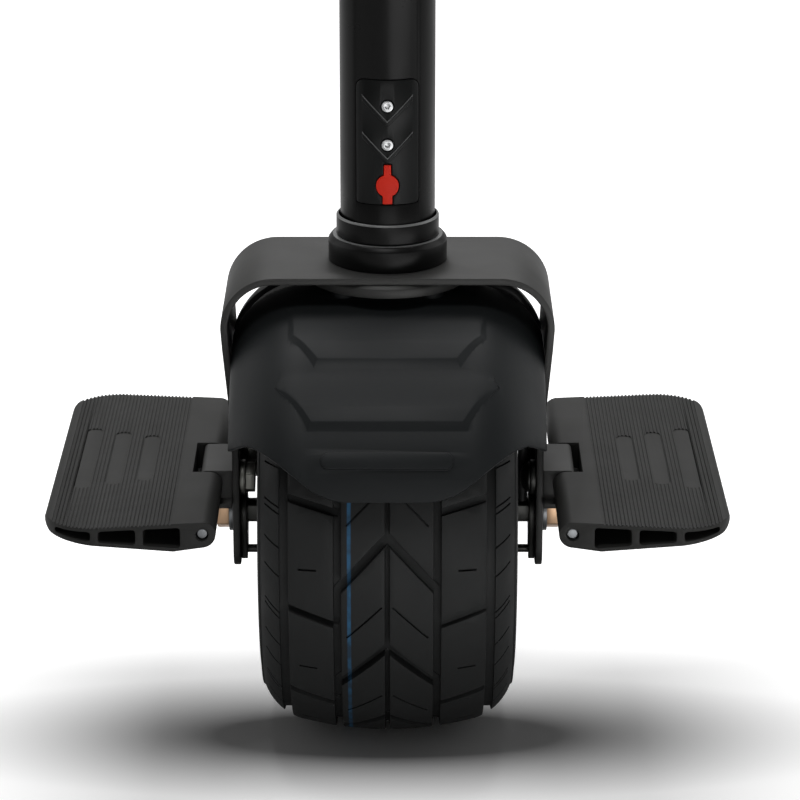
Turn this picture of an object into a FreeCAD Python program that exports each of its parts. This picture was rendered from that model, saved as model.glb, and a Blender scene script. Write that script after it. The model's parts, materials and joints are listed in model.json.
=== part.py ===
import FreeCAD, Part
import math
import os
import Sketcher
from FreeCAD import Rotation, Vector

# Electric unicycle: a wide motor wheel in a bent plate arch, a battery stem with a handlebar above it,
# two hinged foot pedals beside it. +X right, -Y front, +Z up, origin at the tyre's ground contact.

# Driving dimensions in millimetres and degrees, with counts
SIZES = {
    # Tyre
    "tyre_diameter": 254.0,
    "tyre_width": 145.0,
    "tyre_crown_half": 50.0,
    "tyre_crown_fall": 6.4,
    "tyre_crown_radius": 200.0,
    "tyre_widest_fall": 37.0,
    "tyre_shoulder_radius": 32.0,
    "tyre_sidewall_radius": 24.0,
    "tyre_wall": 10.0,
    "tyre_liner_ease": 2.0,
    "tyre_section_height": 57.0,
    "bead_span": 116.0,
    "bead_length": 12.0,
    "bead_height": 9.0,
    "tread_depth": 5.0,
    "centre_groove_width": 2.6,
    "inner_groove_width": 4.2,
    "inner_groove_offset": 27.5,
    "outer_groove_width": 5.0,
    "outer_groove_offset": 57.0,
    "outer_groove_depth": 4.0,
    "chevron_count": 12.0,
    "chevron_width": 5.2,
    "chevron_angle": 47.5,
    "chevron_phase": 16.2,
    "block_groove_width": 4.4,
    "block_groove_angle": 16.0,
    "block_groove_shift": 5.5,
    # Wheel hub and motor
    "rim_flange_height": 9.0,
    "rim_flange_thickness": 3.4,
    "rim_well_depth": 2.5,
    "rim_well_slope": 3.0,
    "rim_seat_overlap": 1.0,
    "rim_wall": 4.0,
    "housing_half": 30.0,
    "housing_wall": 8.0,
    "hub_cover_thickness": 5.0,
    "hub_boss_length": 22.0,
    "hub_boss_radius": 23.0,
    "hub_cone_share": 0.47,
    "hub_lip_gap": 2.0,
    "hub_screw_count": 8.0,
    "hub_screw_radius": 2.0,
    "hub_screw_head_radius": 3.6,
    "hub_screw_head_height": 2.2,
    "bearing_outer_radius": 17.5,
    "bearing_width": 11.0,
    "bearing_recess": 0.5,
    "magnet_thickness": 3.4,
    "magnet_half": 20.0,
    "air_gap": 0.6,
    "stator_half": 18.0,
    "stator_slot_count": 24.0,
    "stator_slot_share": 0.64,
    "stator_slot_depth": 18.0,
    "winding_half": 26.0,
    "winding_tip_gap": 3.0,
    "valve_radius": 3.85,
    "valve_drop": 16.0,
    "valve_offset": 40.5,
    "valve_length": 12.0,
    "valve_thread_length": 10.0,
    "valve_sleeve": 0.6,
    "valve_foot": 1.0,
    "valve_foot_height": 3.0,
    # Axle
    "axle_core_radius": 10.0,
    "axle_seat_radius": 7.5,
    "axle_shaft_radius": 7.0,
    "axle_thread_radius": 6.0,
    "axle_flats": 11.0,
    "axle_flat_run": 7.0,
    "axle_overhang": 12.0,
    "washer_radius": 12.0,
    "washer_thickness": 3.0,
    "nut_across_flats": 19.0,
    "nut_height": 7.0,
    # Arch frame
    "arch_width": 187.0,
    "arch_depth": 84.0,
    "arch_corner_radius": 30.0,
    "plate_thickness": 4.0,
    "dropout_width": 178.0,
    "leg_bend_rise": 60.0,
    "leg_depth": 50.0,
    "leg_taper_top_rise": 111.0,
    "leg_taper_low_rise": 51.0,
    "leg_drop": 28.5,
    "leg_toe_radius": 13.0,
    "torque_plate_thickness": 3.5,
    "torque_plate_radius": 13.0,
    "torque_pin_drop": 24.0,
    "torque_pin_radius": 2.4,
    "torque_pin_length": 17.0,
    "torque_fork_wall": 5.5,
    "torque_plate_setback": 1.0,
    "torque_neck_rise": 6.0,
    "torque_cheek_drop": 8.0,
    # Fenders
    "fender_gap": 10.0,
    "fender_wall": 3.0,
    "fender_half_width": 88.0,
    "fender_shoulder": 45.0,
    "fender_shoulder_radius": 45.5,
    "fender_skirt": 2.0,
    "fender_seam": 16.0,
    "skirt_end_angle": 36.0,
    "tongue_end_angle": 22.3,
    "tongue_half_width": 77.0,
    "tongue_neck_half": 43.0,
    "tongue_tip_half": 21.0,
    "tongue_tip_radius": 42.0,
    "tongue_neck_share": 0.23,
    "tongue_hip_half": 62.0,
    "tongue_hip_share": 0.7,
    "tongue_hip_radius": 65.0,
    "step_height": 3.0,
    "step_lean": 30.0,
    "step_root_depth": 1.0,
    "step_taper": -50.0,
    "upper_step_angle": 53.9,
    "upper_step_half": 41.0,
    "upper_step_side_half": 58.0,
    "upper_step_side_angle": 62.7,
    "upper_step_root_angle": 78.0,
    "lower_step_angle": 38.2,
    "lower_step_half": 44.0,
    "lower_step_side_half": 62.0,
    "lower_step_side_angle": 49.9,
    "lower_step_root_angle": 55.4,
    "bar_low_angle": 29.6,
    "bar_high_angle": 33.4,
    "bar_half": 36.0,
    "bar_height": 2.0,
    "fender_screw_x": 25.0,
    "fender_screw_y": 22.0,
    "fender_screw_radius": 2.5,
    "fender_screw_head_radius": 5.0,
    "fender_screw_head_height": 2.8,
    "fender_screw_recess": 1.0,
    "fender_screw_engagement": 5.0,
    "fender_boss_radius": 6.5,
    "fender_boss_root": 2.0,
    "fender_headroom": 2.0,
    # Stem
    "flange_radius": 45.0,
    "flange_thickness": 7.0,
    "flange_bevel": 2.0,
    "socket_radius": 33.5,
    "socket_height": 14.6,
    "socket_neck_radius": 22.0,
    "socket_bore_radius": 15.0,
    "socket_floor": 3.0,
    "socket_neck_setback": 1.0,
    "socket_bevel_width": 2.0,
    "socket_bevel_height": 2.5,
    "lock_ring_radius": 29.0,
    "lock_ring_height": 12.0,
    "lock_ring_gap": 0.9,
    "lock_ring_bevel": 0.8,
    "lock_ring_lip": 4.0,
    "stem_radius": 26.7,
    "stem_wall": 2.5,
    "stem_length": 617.0,
    # Service cover
    "cover_half_width": 17.5,
    "cover_bottom_rise": 38.0,
    "cover_height": 71.4,
    "cover_corner_radius": 5.0,
    "cover_low_corner_radius": 2.0,
    "cover_thickness": 2.9,
    "chevron_ridge_height": 0.8,
    "chevron_ridge_width": 3.1,
    "chevron_ridge_half": 14.0,
    "chevron_ridge_fall": 14.3,
    "upper_chevron_rise": 48.0,
    "lower_chevron_rise": 27.0,
    "upper_screw_rise": 56.5,
    "lower_screw_rise": 34.6,
    "cover_screw_radius": 1.5,
    "cover_screw_head_radius": 3.2,
    "cover_screw_head_height": 1.9,
    "cover_screw_margin": 0.6,
    "cover_screw_key": 2.5,
    "cover_screw_key_depth": 1.0,
    "backing_thickness": 2.95,
    "backing_margin": 3.5,
    "backing_gap": 0.2,
    "plug_rise": 11.2,
    "plug_radius": 6.3,
    "plug_thickness": 2.0,
    "plug_hinge_width": 4.0,
    "plug_hinge_reach": 12.0,
    "plug_pull_width": 5.4,
    "plug_pull_reach": 10.4,
    "plug_lip_length": 1.4,
    "plug_lip_gap": 0.4,
    "plug_lip_wall": 1.0,
    "plug_margin": 0.5,
    "plug_recess_depth": 1.5,
    "port_bore_radius": 4.5,
    "port_barrel_radius": 7.0,
    "port_length": 14.0,
    "port_depth": 11.0,
    "port_rim": 0.5,
    # Electronics and battery
    "board_thickness": 1.6,
    "board_half_width": 17.0,
    "board_setback": 6.0,
    "board_overhang": 3.0,
    "board_post_radius": 2.2,
    "board_post_x": 13.0,
    "board_post_low_rise": 6.0,
    "board_post_high_rise": 62.0,
    "capacitor_radius": 8.0,
    "capacitor_length": 18.0,
    "capacitor_low_rise": 22.0,
    "capacitor_high_rise": 46.0,
    "cell_radius": 9.1,
    "cell_length": 65.0,
    "cell_layers": 4.0,
    "cell_spacing": 9.4,
    "holder_thickness": 3.0,
    "holder_foot": 9.0,
    # Pedals
    "pedal_rise": 25.0,
    "hinge_offset": 13.0,
    "hinge_pin_radius": 3.5,
    "hinge_pin_setback": 0.5,
    "hinge_pin_bevel": 0.8,
    "pedal_nose_radius": 7.5,
    "pedal_span": 88.0,
    "pedal_outer_half_length": 113.5,
    "pedal_flare": 9.5,
    "pedal_cell_corner": 1.8,
    "pedal_corner_radius": 28.0,
    "pedal_belly": 9.0,
    "pedal_belly_offset": 16.0,
    "pedal_tip_thickness": 8.0,
    "pedal_tip_round": 3.5,
    "pedal_tip_run": 6.0,
    "pedal_tip_belly_radius": 7.0,
    "pedal_cell_count": 3.0,
    "pedal_cell_start": 12.0,
    "pedal_cell_width": 20.2,
    "pedal_cell_rib": 4.2,
    "cell_wall_top": 2.7,
    "cell_wall_bottom": 2.3,
    "rib_pitch": 2.15,
    "rib_count": 31.0,
    "rib_start": 17.5,
    "rib_groove_width": 1.1,
    "rib_groove_depth": 0.7,
    "slot_count": 3.0,
    "slot_width": 9.5,
    "slot_depth": 1.0,
    "slot_pitch": 17.2,
    "slot_first": 36.4,
    "slot_first_half": 38.0,
    "slot_growth": 6.0,
    "notch_half": 24.6,
    "notch_reach": 9.4,
    # Hinge brackets
    "bracket_half": 23.0,
    "bracket_reach": 18.0,
    "bracket_toe_reach": 30.0,
    "bracket_toe_thickness": 3.0,
    "bracket_toe_half": 32.0,
    "bracket_round": 3.0,
    "bracket_washer_gap": 0.6,
    "bracket_bolt_spread": 13.0,
    "bracket_bolt_radius": 5.0,
    "bracket_bolt_engagement": 8.0,
    "bracket_bolt_head": 5.4,
    "bracket_bolt_flats": 16.0,
    "bracket_dome_radius": 8.7,
    "dome_flat_radius": 3.5,
    "dome_bulge_radius": 8.3,
    "dome_edge": 1.0,
    "bracket_washer_radius": 10.0,
    "bracket_washer_thickness": 3.3,
    # Motor cable
    "cable_radius": 3.0,
    "cable_plate_gap": 0.5,
    "cable_top_clearance": 4.0,
    "cable_bend_radius": 17.0,
    "cable_stem_offset": 10.0,
    "cable_stem_bend": 12.0,
    "cable_exit_depth": 3.0,
    "cable_stem_reach": 10.0,
    "clip_width": 8.0,
    "clip_half": 6.5,
    "clip_rise": 45.0,
    "clip_wall": 1.5,
    "clip_flange_gap": 1.0,
    # Handlebar
    "head_radius": 30.5,
    "head_cup_length": 36.0,
    "head_roof": 5.0,
    "head_bevel": 3.0,
    "bar_radius": 11.1,
    "bar_wall": 2.0,
    "bar_length": 460.0,
    "bar_clamp_radius": 22.0,
    "bar_clamp_sink": 2.0,
    "bar_clamp_length": 60.0,
    "bar_clamp_slit": 2.0,
    "face_bolt_x": 22.0,
    "face_bolt_rise": 15.0,
    "face_bolt_radius": 2.5,
    "face_bolt_head_radius": 4.2,
    "face_bolt_head_height": 4.0,
    "face_bolt_key": 4.0,
    "face_bolt_key_depth": 2.4,
    "face_bolt_seat": 9.0,
    "face_bolt_reach": 9.0,
    "grip_length": 125.0,
    "grip_radius": 15.5,
    "grip_flange_radius": 19.0,
    "grip_flange_length": 5.0,
    "grip_end_wall": 4.0,
    "grip_end_bevel": 3.0,
    "grip_rib_count": 9.0,
    "grip_rib_depth": 1.2,
    "grip_rib_width": 4.0,
    "grip_rib_start": 8.0,
    "grip_rib_end": 20.0,
    "switch_drop": 18.0,
    "switch_boss_radius": 11.0,
    "switch_boss_height": 3.0,
    "switch_body_radius": 8.0,
    "switch_body_length": 19.0,
    "switch_bezel_radius": 9.8,
    "switch_bezel_height": 2.0,
    "button_radius": 6.0,
    "button_length": 12.0,
    "button_proud": 2.6,
    "button_room": 3.0,
    # Fits and edges
    "running_clearance": 0.04,
    "seat_clearance": 0.05,
    "loose_clearance": 0.3,
    "edge_break": 1.0,
}


class Size:
    """A number together with the sheet formula that gives it."""

    def __init__(self, value, formula):
        self.value = float(value)
        self.formula = formula

    def __add__(self, other):
        other = as_size(other)
        return Size(self.value + other.value, f"({self.formula} + {other.formula})")

    def __radd__(self, other):
        return as_size(other) + self

    def __sub__(self, other):
        other = as_size(other)
        return Size(self.value - other.value, f"({self.formula} - {other.formula})")

    def __rsub__(self, other):
        return as_size(other) - self

    def __mul__(self, other):
        other = as_size(other)
        return Size(self.value * other.value, f"({self.formula} * {other.formula})")

    def __rmul__(self, other):
        return as_size(other) * self

    def __truediv__(self, other):
        other = as_size(other)
        return Size(self.value / other.value, f"({self.formula} / {other.formula})")

    def __rtruediv__(self, other):
        return as_size(other) / self

    def __neg__(self):
        return as_size(0) - self


def as_size(number):
    return number if isinstance(number, Size) else Size(number, f"{float(number):.6f}")


def sine(angle):
    angle = as_size(angle)
    return Size(math.sin(math.radians(angle.value)), f"sin({angle.formula})")


def cosine(angle):
    angle = as_size(angle)
    return Size(math.cos(math.radians(angle.value)), f"cos({angle.formula})")


def root(number):
    return Size(math.sqrt(number.value), f"sqrt({number.formula})")


def leg_of(hypotenuse, other_leg):
    """The second leg of a right triangle: how far a circle reaches beside a given offset."""
    return root(hypotenuse * hypotenuse - other_leg * other_leg)


doc = FreeCAD.newDocument("unicycle")
sheet = doc.addObject("Spreadsheet::Sheet", "Sizes")
for row, (alias, number) in enumerate(SIZES.items(), start=1):
    sheet.set(f"A{row}", alias.replace("_", " "))
    sheet.set(f"B{row}", str(number))
    sheet.setAlias(f"B{row}", alias)
doc.recompute()


def size(alias):
    return Size(sheet.get(alias), f"Sizes.{alias}")


def bind(thing, prop, number):
    thing.setExpression(prop, as_size(number).formula)


def bind_place(thing, x=0, y=0, z=0):
    for axis, number in zip("xyz", (x, y, z)):
        bind(thing, f"Placement.Base.{axis}", number)


nodes = []


def node(thing, label):
    thing.Label = label
    nodes.append(thing)
    return thing


# Sketches: corners are (x, y), or (x, y, radius) where an arc leads to the next corner. A positive radius
# turns left. A circle is ("circle", x, y, radius).
def arc_between(start, end, radius):
    chord = end - start
    height = math.sqrt(max(radius * radius - chord.Length * chord.Length / 4, 0))
    left = Vector(-chord.y, chord.x, 0).normalize()
    side = 1 if radius > 0 else -1
    centre = (start + end) * 0.5 + left * (height * side)
    first, last = (start, end) if radius > 0 else (end, start)
    angles = [math.atan2(p.y - centre.y, p.x - centre.x) for p in (first, last)]
    return Part.ArcOfCircle(Part.Circle(centre, Vector(0, 0, 1), abs(radius)), *angles)


def add_path(sketch, corners, closed=True):
    corners = [tuple(as_size(number) for number in corner) for corner in corners]
    points = [Vector(corner[0].value, corner[1].value, 0) for corner in corners]
    count = len(corners)
    edge_count = count if closed else count - 1
    first = sketch.GeometryCount
    edges, ends = [], []
    for index in range(edge_count):
        start, end = points[index], points[(index + 1) % count]
        if len(corners[index]) == 3:
            radius = corners[index][2].value
            edges.append(arc_between(start, end, radius))
            ends.append((1, 2) if radius > 0 else (2, 1))
        else:
            edges.append(Part.LineSegment(start, end))
            ends.append((1, 2))
    sketch.addGeometry(edges, False)
    constraints, formulas = [], []

    def fix(constraint, number):
        constraints.append(constraint)
        formulas.append(number.formula)

    for index in range(count):
        if index < edge_count:
            spot = (first + index, ends[index][0])
        else:
            spot = (first + index - 1, ends[index - 1][1])
        x, y = corners[index][:2]
        fix(Sketcher.Constraint("DistanceX", -1, 1, *spot, x.value), x)
        fix(Sketcher.Constraint("DistanceY", -1, 1, *spot, y.value), y)
        if index < edge_count and len(corners[index]) == 3:
            radius = corners[index][2]
            reach = radius if radius.value > 0 else -radius
            fix(Sketcher.Constraint("Radius", first + index, reach.value), reach)
    for index in range(edge_count if closed else edge_count - 1):
        follower = (index + 1) % edge_count
        constraints.append(Sketcher.Constraint(
            "Coincident", first + index, ends[index][1], first + follower, ends[follower][0]))
        formulas.append(None)
    apply_constraints(sketch, constraints, formulas)


def add_circle(sketch, x, y, radius):
    x, y, radius = as_size(x), as_size(y), as_size(radius)
    centre = Vector(x.value, y.value, 0)
    index = sketch.addGeometry(Part.Circle(centre, Vector(0, 0, 1), radius.value), False)
    constraints = [
        Sketcher.Constraint("DistanceX", -1, 1, index, 3, x.value),
        Sketcher.Constraint("DistanceY", -1, 1, index, 3, y.value),
        Sketcher.Constraint("Radius", index, radius.value),
    ]
    apply_constraints(sketch, constraints, [x.formula, y.formula, radius.formula])


def apply_constraints(sketch, constraints, formulas):
    start = sketch.ConstraintCount
    sketch.addConstraint(constraints)
    for index, formula in enumerate(formulas):
        if formula and "Sizes." in formula:
            sketch.setExpression(f"Constraints[{start + index}]", formula)


def origin_part(body, role):
    return next(part for part in body.Origin.OriginFeatures if part.Role == role)


def draw(body, plane, *loops, lift=0, tilt=None, closed=True):
    """A sketch on one of the body's origin planes, tilted about its x or y and lifted along its normal."""
    sketch = body.newObject("Sketcher::SketchObject", body.Name + "_sketch")
    sketch.AttachmentSupport = (origin_part(body, plane), [""])
    sketch.MapMode = "FlatFace"
    if tilt is not None:
        axis, angle = tilt
        sketch.AttachmentOffset = FreeCAD.Placement(Vector(), Rotation(axis, as_size(angle).value))
        bind(sketch, "AttachmentOffset.Rotation.Angle", angle)
    lift = as_size(lift)
    if lift.value and tilt is not None:
        bind(sketch, "AttachmentOffset.Base.y", -1 * lift * sine(angle))
        bind(sketch, "AttachmentOffset.Base.z", lift * cosine(angle))
    elif lift.value:
        bind(sketch, "AttachmentOffset.Base.z", lift)
    for loop in loops:
        if loop[0] == "circle":
            add_circle(sketch, *loop[1:])
        else:
            add_path(sketch, loop, closed)
    doc.recompute()
    return sketch


def new_body(name):
    return doc.addObject("PartDesign::Body", name)


def pad(body, sketch, length, both=False, flip=False):
    feature = body.newObject("PartDesign::Pad", body.Name + "_pad")
    feature.Profile = sketch
    feature.SideType = "Symmetric" if both else "One side"
    feature.Reversed = flip
    bind(feature, "Length", length)
    sketch.Visibility = False
    return feature


def pocket(body, sketch, length=None, both=False, flip=False):
    feature = body.newObject("PartDesign::Pocket", body.Name + "_pocket")
    feature.Profile = sketch
    feature.SideType = "Symmetric" if both else "One side"
    feature.Reversed = flip
    if length is None:
        feature.Type = "ThroughAll"
    else:
        bind(feature, "Length", length)
    return feature


def revolve(body, sketch, axis, angle=360, groove=False):
    kind = "Groove" if groove else "Revolution"
    feature = body.newObject(f"PartDesign::{kind}", body.Name + "_turned")
    feature.Profile = sketch
    feature.ReferenceAxis = (sketch, [axis])
    bind(feature, "Angle", angle)
    return feature


def polar(body, features, axis, count):
    pattern = body.newObject("PartDesign::PolarPattern", body.Name + "_polar")
    pattern.Originals = features
    pattern.Axis = (origin_part(body, axis), [""])
    pattern.Angle = 360
    bind(pattern, "Occurrences", count)
    body.Tip = pattern
    return pattern


def turned_on_stem(name, outline):
    """A solid of revolution about the stem's axis, from corners of radius and height."""
    body = new_body(name)
    revolve(body, draw(body, "XZ_Plane", outline), "V_Axis")
    return body


def turned_on_axle(name, outline):
    """A solid of revolution about the wheel's axis, from corners of offset and radius."""
    body = new_body(name)
    bind_place(body, z=axle_height)
    revolve(body, draw(body, "XZ_Plane", outline), "H_Axis")
    return body


TURN_TO = {"x": Rotation(Vector(0, 1, 0), 90), "y": Rotation(Vector(1, 0, 0), -90), "z": Rotation()}


def rod(radius, length, direction, x=0, y=0, z=0):
    """A cylinder that runs from a point along +X, +Y or +Z."""
    cylinder = doc.addObject("Part::Cylinder", "rod")
    cylinder.Placement.Rotation = TURN_TO[direction]
    bind(cylinder, "Radius", radius)
    bind(cylinder, "Height", length)
    bind_place(cylinder, x, y, z)
    return cylinder


def hexagon(across_flats, length, direction, x=0, y=0, z=0):
    prism = doc.addObject("Part::Prism", "hexagon")
    prism.Polygon = 6
    prism.Placement.Rotation = TURN_TO[direction]
    bind(prism, "Circumradius", across_flats / math.sqrt(3))
    bind(prism, "Height", length)
    bind_place(prism, x, y, z)
    return prism


def block(x, y, z, length, width, height):
    box = doc.addObject("Part::Box", "block")
    bind(box, "Length", length)
    bind(box, "Width", width)
    bind(box, "Height", height)
    bind_place(box, x, y, z)
    return box


def fuse(*pieces):
    joined = doc.addObject("Part::MultiFuse", "joined")
    joined.Shapes = list(pieces)
    return joined


def cut(base, *tools):
    result = doc.addObject("Part::Cut", "trimmed")
    result.Base = base
    result.Tool = tools[0] if len(tools) == 1 else fuse(*tools)
    return result


def common(base, tool):
    result = doc.addObject("Part::Common", "shared")
    result.Base = base
    result.Tool = tool
    return result


def mirror(source, normal):
    image = doc.addObject("Part::Mirroring", "mirrored")
    image.Source = source
    image.Normal = normal
    return image


def group(*members):
    compound = doc.addObject("Part::Compound", "group")
    compound.Links = list(members)
    return compound


LEFT_RIGHT = Vector(1, 0, 0)
FRONT_BACK = Vector(0, 1, 0)
ALONG_X = Vector(1, 0, 0)
ALONG_Y = Vector(0, 1, 0)

# How far a cutting shape reaches past the face that it opens
BEYOND = 5

# Heights and offsets that the pieces share
running = size("running_clearance")
seat = size("seat_clearance")
loose = size("loose_clearance")
edge_break = size("edge_break")
tyre_radius = size("tyre_diameter") / 2
axle_height = tyre_radius
plate = size("plate_thickness")
leg_outer = size("dropout_width") / 2
leg_inner = leg_outer - plate
fender_inner = tyre_radius + size("fender_gap")
fender_outer = fender_inner + size("fender_wall")
flange_bottom = axle_height + fender_outer + size("fender_headroom")
arch_underside = flange_bottom + size("flange_thickness")
arch_top = arch_underside + plate
socket_top = arch_top + size("socket_height")
stem_radius = size("stem_radius")
stem_bore = stem_radius - size("stem_wall")
stem_bottom = arch_top + size("socket_floor")
stem_top = stem_bottom + size("stem_length")
cover_low = arch_top + size("cover_bottom_rise")
plug_height = cover_low + size("plug_rise")
plug_hinge_height = plug_height + size("plug_hinge_reach") - size("plug_thickness") / 2
switch_height = stem_top - size("switch_drop")
hinge_x = leg_outer + size("hinge_offset")
pedal_long_half = size("pedal_outer_half_length")
pedal_short_half = pedal_long_half - size("pedal_flare")
hinge_height = axle_height + size("pedal_rise")
pedal_top = hinge_height + size("pedal_nose_radius")
bar_axis_height = stem_top + size("head_roof") + size("bar_clamp_radius") - size("bar_clamp_sink")
bead_half = size("bead_span") / 2
bead_radius = tyre_radius - size("tyre_section_height")
cable_x = leg_inner - size("torque_plate_thickness") - size("cable_plate_gap") - size("cable_radius")


def tyre_surface(offset):
    """Radius of the tread at a distance from the middle, on the crown's arc."""
    crown = size("tyre_crown_radius")
    return tyre_radius - crown + leg_of(crown, offset)


def make_tyre():
    body = new_body("tyre")
    bind_place(body, z=axle_height)
    body.Placement.Rotation = Rotation(ALONG_X, 1)
    bind(body, "Placement.Rotation.Angle", size("chevron_phase"))
    crown, wall = size("tyre_crown_half"), size("tyre_wall")
    half = size("tyre_width") / 2
    edge = tyre_radius - size("tyre_crown_fall")
    widest = tyre_radius - size("tyre_widest_fall")
    bead, bead_end = bead_radius, bead_radius + size("bead_height")
    toe = bead_half - size("bead_length")
    crown_arc, shoulder, sidewall = (
        size("tyre_crown_radius"), size("tyre_shoulder_radius"), size("tyre_sidewall_radius"))
    liner_sidewall = sidewall - size("tyre_liner_ease")
    liner_shoulder = shoulder - wall + size("tyre_liner_ease")
    section = [
        (-crown, edge, -crown_arc),
        (crown, edge, -shoulder),
        (half, widest, -sidewall),
        (bead_half, bead_end),
        (bead_half, bead),
        (toe, bead),
        (toe, bead_end, liner_sidewall),
        (half - wall, widest, liner_shoulder),
        (crown - wall / 2, edge - wall, crown_arc - wall),
        (-(crown - wall / 2), edge - wall, liner_shoulder),
        (-(half - wall), widest, liner_sidewall),
        (-toe, bead_end),
        (-toe, bead),
        (-bead_half, bead),
        (-bead_half, bead_end, -sidewall),
        (-half, widest, -shoulder),
    ]
    revolve(body, draw(body, "XZ_Plane", section), "H_Axis")
    make_tread(body)
    return node(body, "tyre")


def ring_groove(offset, width, floor):
    above = tyre_radius + BEYOND
    return [
        (offset - width / 2, floor),
        (offset + width / 2, floor),
        (offset + width / 2, above),
        (offset - width / 2, above),
    ]


def make_tread(body):
    depth = size("tread_depth")
    inner, outer = size("inner_groove_offset"), size("outer_groove_offset")
    shoulder_centre = size("tyre_width") / 2 - size("tyre_shoulder_radius")
    widest = tyre_radius - size("tyre_widest_fall")
    outer_surface = widest + leg_of(size("tyre_shoulder_radius"), outer - shoulder_centre)
    inner_floor = tyre_surface(inner) - depth
    outer_floor = outer_surface - size("outer_groove_depth")
    rings = [
        ring_groove(as_size(0), size("centre_groove_width"), tyre_radius - depth),
        ring_groove(inner, size("inner_groove_width"), inner_floor),
        ring_groove(-inner, size("inner_groove_width"), inner_floor),
        ring_groove(outer, size("outer_groove_width"), outer_floor),
        ring_groove(-outer, size("outer_groove_width"), outer_floor),
    ]
    revolve(body, draw(body, "XZ_Plane", *rings), "H_Axis", groove=True)
    above = tyre_radius + BEYOND
    slant = size("chevron_angle")
    arm = inner / cosine(slant)
    drop = tyre_radius - leg_of(tyre_radius, arm * sine(slant)) + tyre_radius - tyre_surface(inner)
    cuts = []
    for side in (1, -1):
        floor = tyre_radius - depth
        profile = [(0, floor), (side * arm, floor - drop), (side * arm, above), (0, above)]
        sketch = draw(body, "XZ_Plane", profile, tilt=(ALONG_Y, -side * slant))
        cuts.append(pocket(body, sketch, size("chevron_width"), both=True))
    for side in (1, -1):
        profile = [
            (side * inner, inner_floor),
            (side * outer, outer_floor),
            (side * outer, above),
            (side * inner, above),
        ]
        sketch = draw(body, "XZ_Plane", profile, lift=-size("block_groove_shift"),
                      tilt=(ALONG_Y, side * size("block_groove_angle")))
        cuts.append(pocket(body, sketch, size("block_groove_width"), both=True))
    polar(body, cuts, "X_Axis", size("chevron_count"))


def make_hub():
    well = bead_radius - size("rim_well_depth")
    seat_radius = bead_radius - seat
    flange = seat_radius + size("rim_flange_height")
    flange_in = bead_half + seat
    flange_out = flange_in + size("rim_flange_thickness")
    inside = well - size("rim_wall") + size("rim_well_depth")
    bead_ledge = bead_half - size("bead_length") - size("rim_seat_overlap")
    house, bore = size("housing_half"), inside - size("housing_wall")
    half_section = [
        (bead_ledge - size("rim_well_slope"), well),
        (bead_ledge, seat_radius),
        (flange_in, seat_radius),
        (flange_in, flange),
        (flange_out, flange),
        (flange_out, inside),
        (house, inside),
        (house, bore),
    ]
    mirrored = [(-x, radius) for x, radius in reversed(half_section)]
    rim = turned_on_axle("rim_turned", half_section + mirrored)
    valve_hole = rod(size("valve_radius") + size("valve_sleeve") + seat, size("rim_wall") + 2 * BEYOND, "z",
                     size("valve_offset"), 0, axle_height - bead_radius - BEYOND)
    node(cut(rim, valve_hole), "hub_rim")

    inner_face = house + seat
    outer_face = inner_face + size("hub_cover_thickness")
    boss_face = outer_face + size("hub_boss_length")
    race = size("bearing_outer_radius")
    bearing_in = boss_face - size("bearing_width") - size("bearing_recess")
    lip = size("axle_core_radius") + size("hub_lip_gap")
    cover = turned_on_axle("hub_cover", [
        (inner_face, lip),
        (inner_face, inside - loose),
        (outer_face, inside - loose),
        (outer_face, bead_radius * size("hub_cone_share")),
        (boss_face - edge_break, size("hub_boss_radius") + edge_break),
        (boss_face, size("hub_boss_radius")),
        (boss_face, race + seat),
        (bearing_in, race + seat),
        (bearing_in, lip),
    ])
    screw_circle = (inside + bore) / 2
    count = int(sheet.get("hub_screw_count"))
    screws, holes = [], []
    for index in range(count):
        angle = 360 * (index + 0.5) / size("hub_screw_count")
        y = screw_circle * cosine(angle)
        z = axle_height + screw_circle * sine(angle)
        shank = rod(size("hub_screw_radius"), size("hub_cover_thickness"), "x", inner_face, y, z)
        head = rod(size("hub_screw_head_radius"), size("hub_screw_head_height"), "x", outer_face, y, z)
        screws.append(fuse(shank, head))
        holes.append(rod(size("hub_screw_radius") + seat, size("hub_cover_thickness") + 2 * BEYOND, "x",
                         inner_face - BEYOND, y, z))
    right_cover = node(cut(cover, *holes), "right_hub_cover")
    node(mirror(right_cover, LEFT_RIGHT), "left_hub_cover")
    right_screws = node(group(*screws), "right_cover_screws")
    node(mirror(right_screws, LEFT_RIGHT), "left_cover_screws")

    bearing = turned_on_axle("wheel_bearing", [
        (bearing_in, size("axle_seat_radius") + running),
        (bearing_in, race),
        (bearing_in + size("bearing_width"), race),
        (bearing_in + size("bearing_width"), size("axle_seat_radius") + running),
    ])
    node(bearing, "right_bearing")
    node(mirror(bearing, LEFT_RIGHT), "left_bearing")

    magnet_half = size("magnet_half")
    magnet_outer = bore - seat
    magnet_inner = magnet_outer - size("magnet_thickness")
    node(turned_on_axle("magnet_ring", [
        (-magnet_half, magnet_inner),
        (magnet_half, magnet_inner),
        (magnet_half, magnet_outer),
        (-magnet_half, magnet_outer),
    ]), "magnet_ring")
    make_valve()
    make_stator(magnet_inner - size("air_gap"))
    make_axle(bearing_in)


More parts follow.
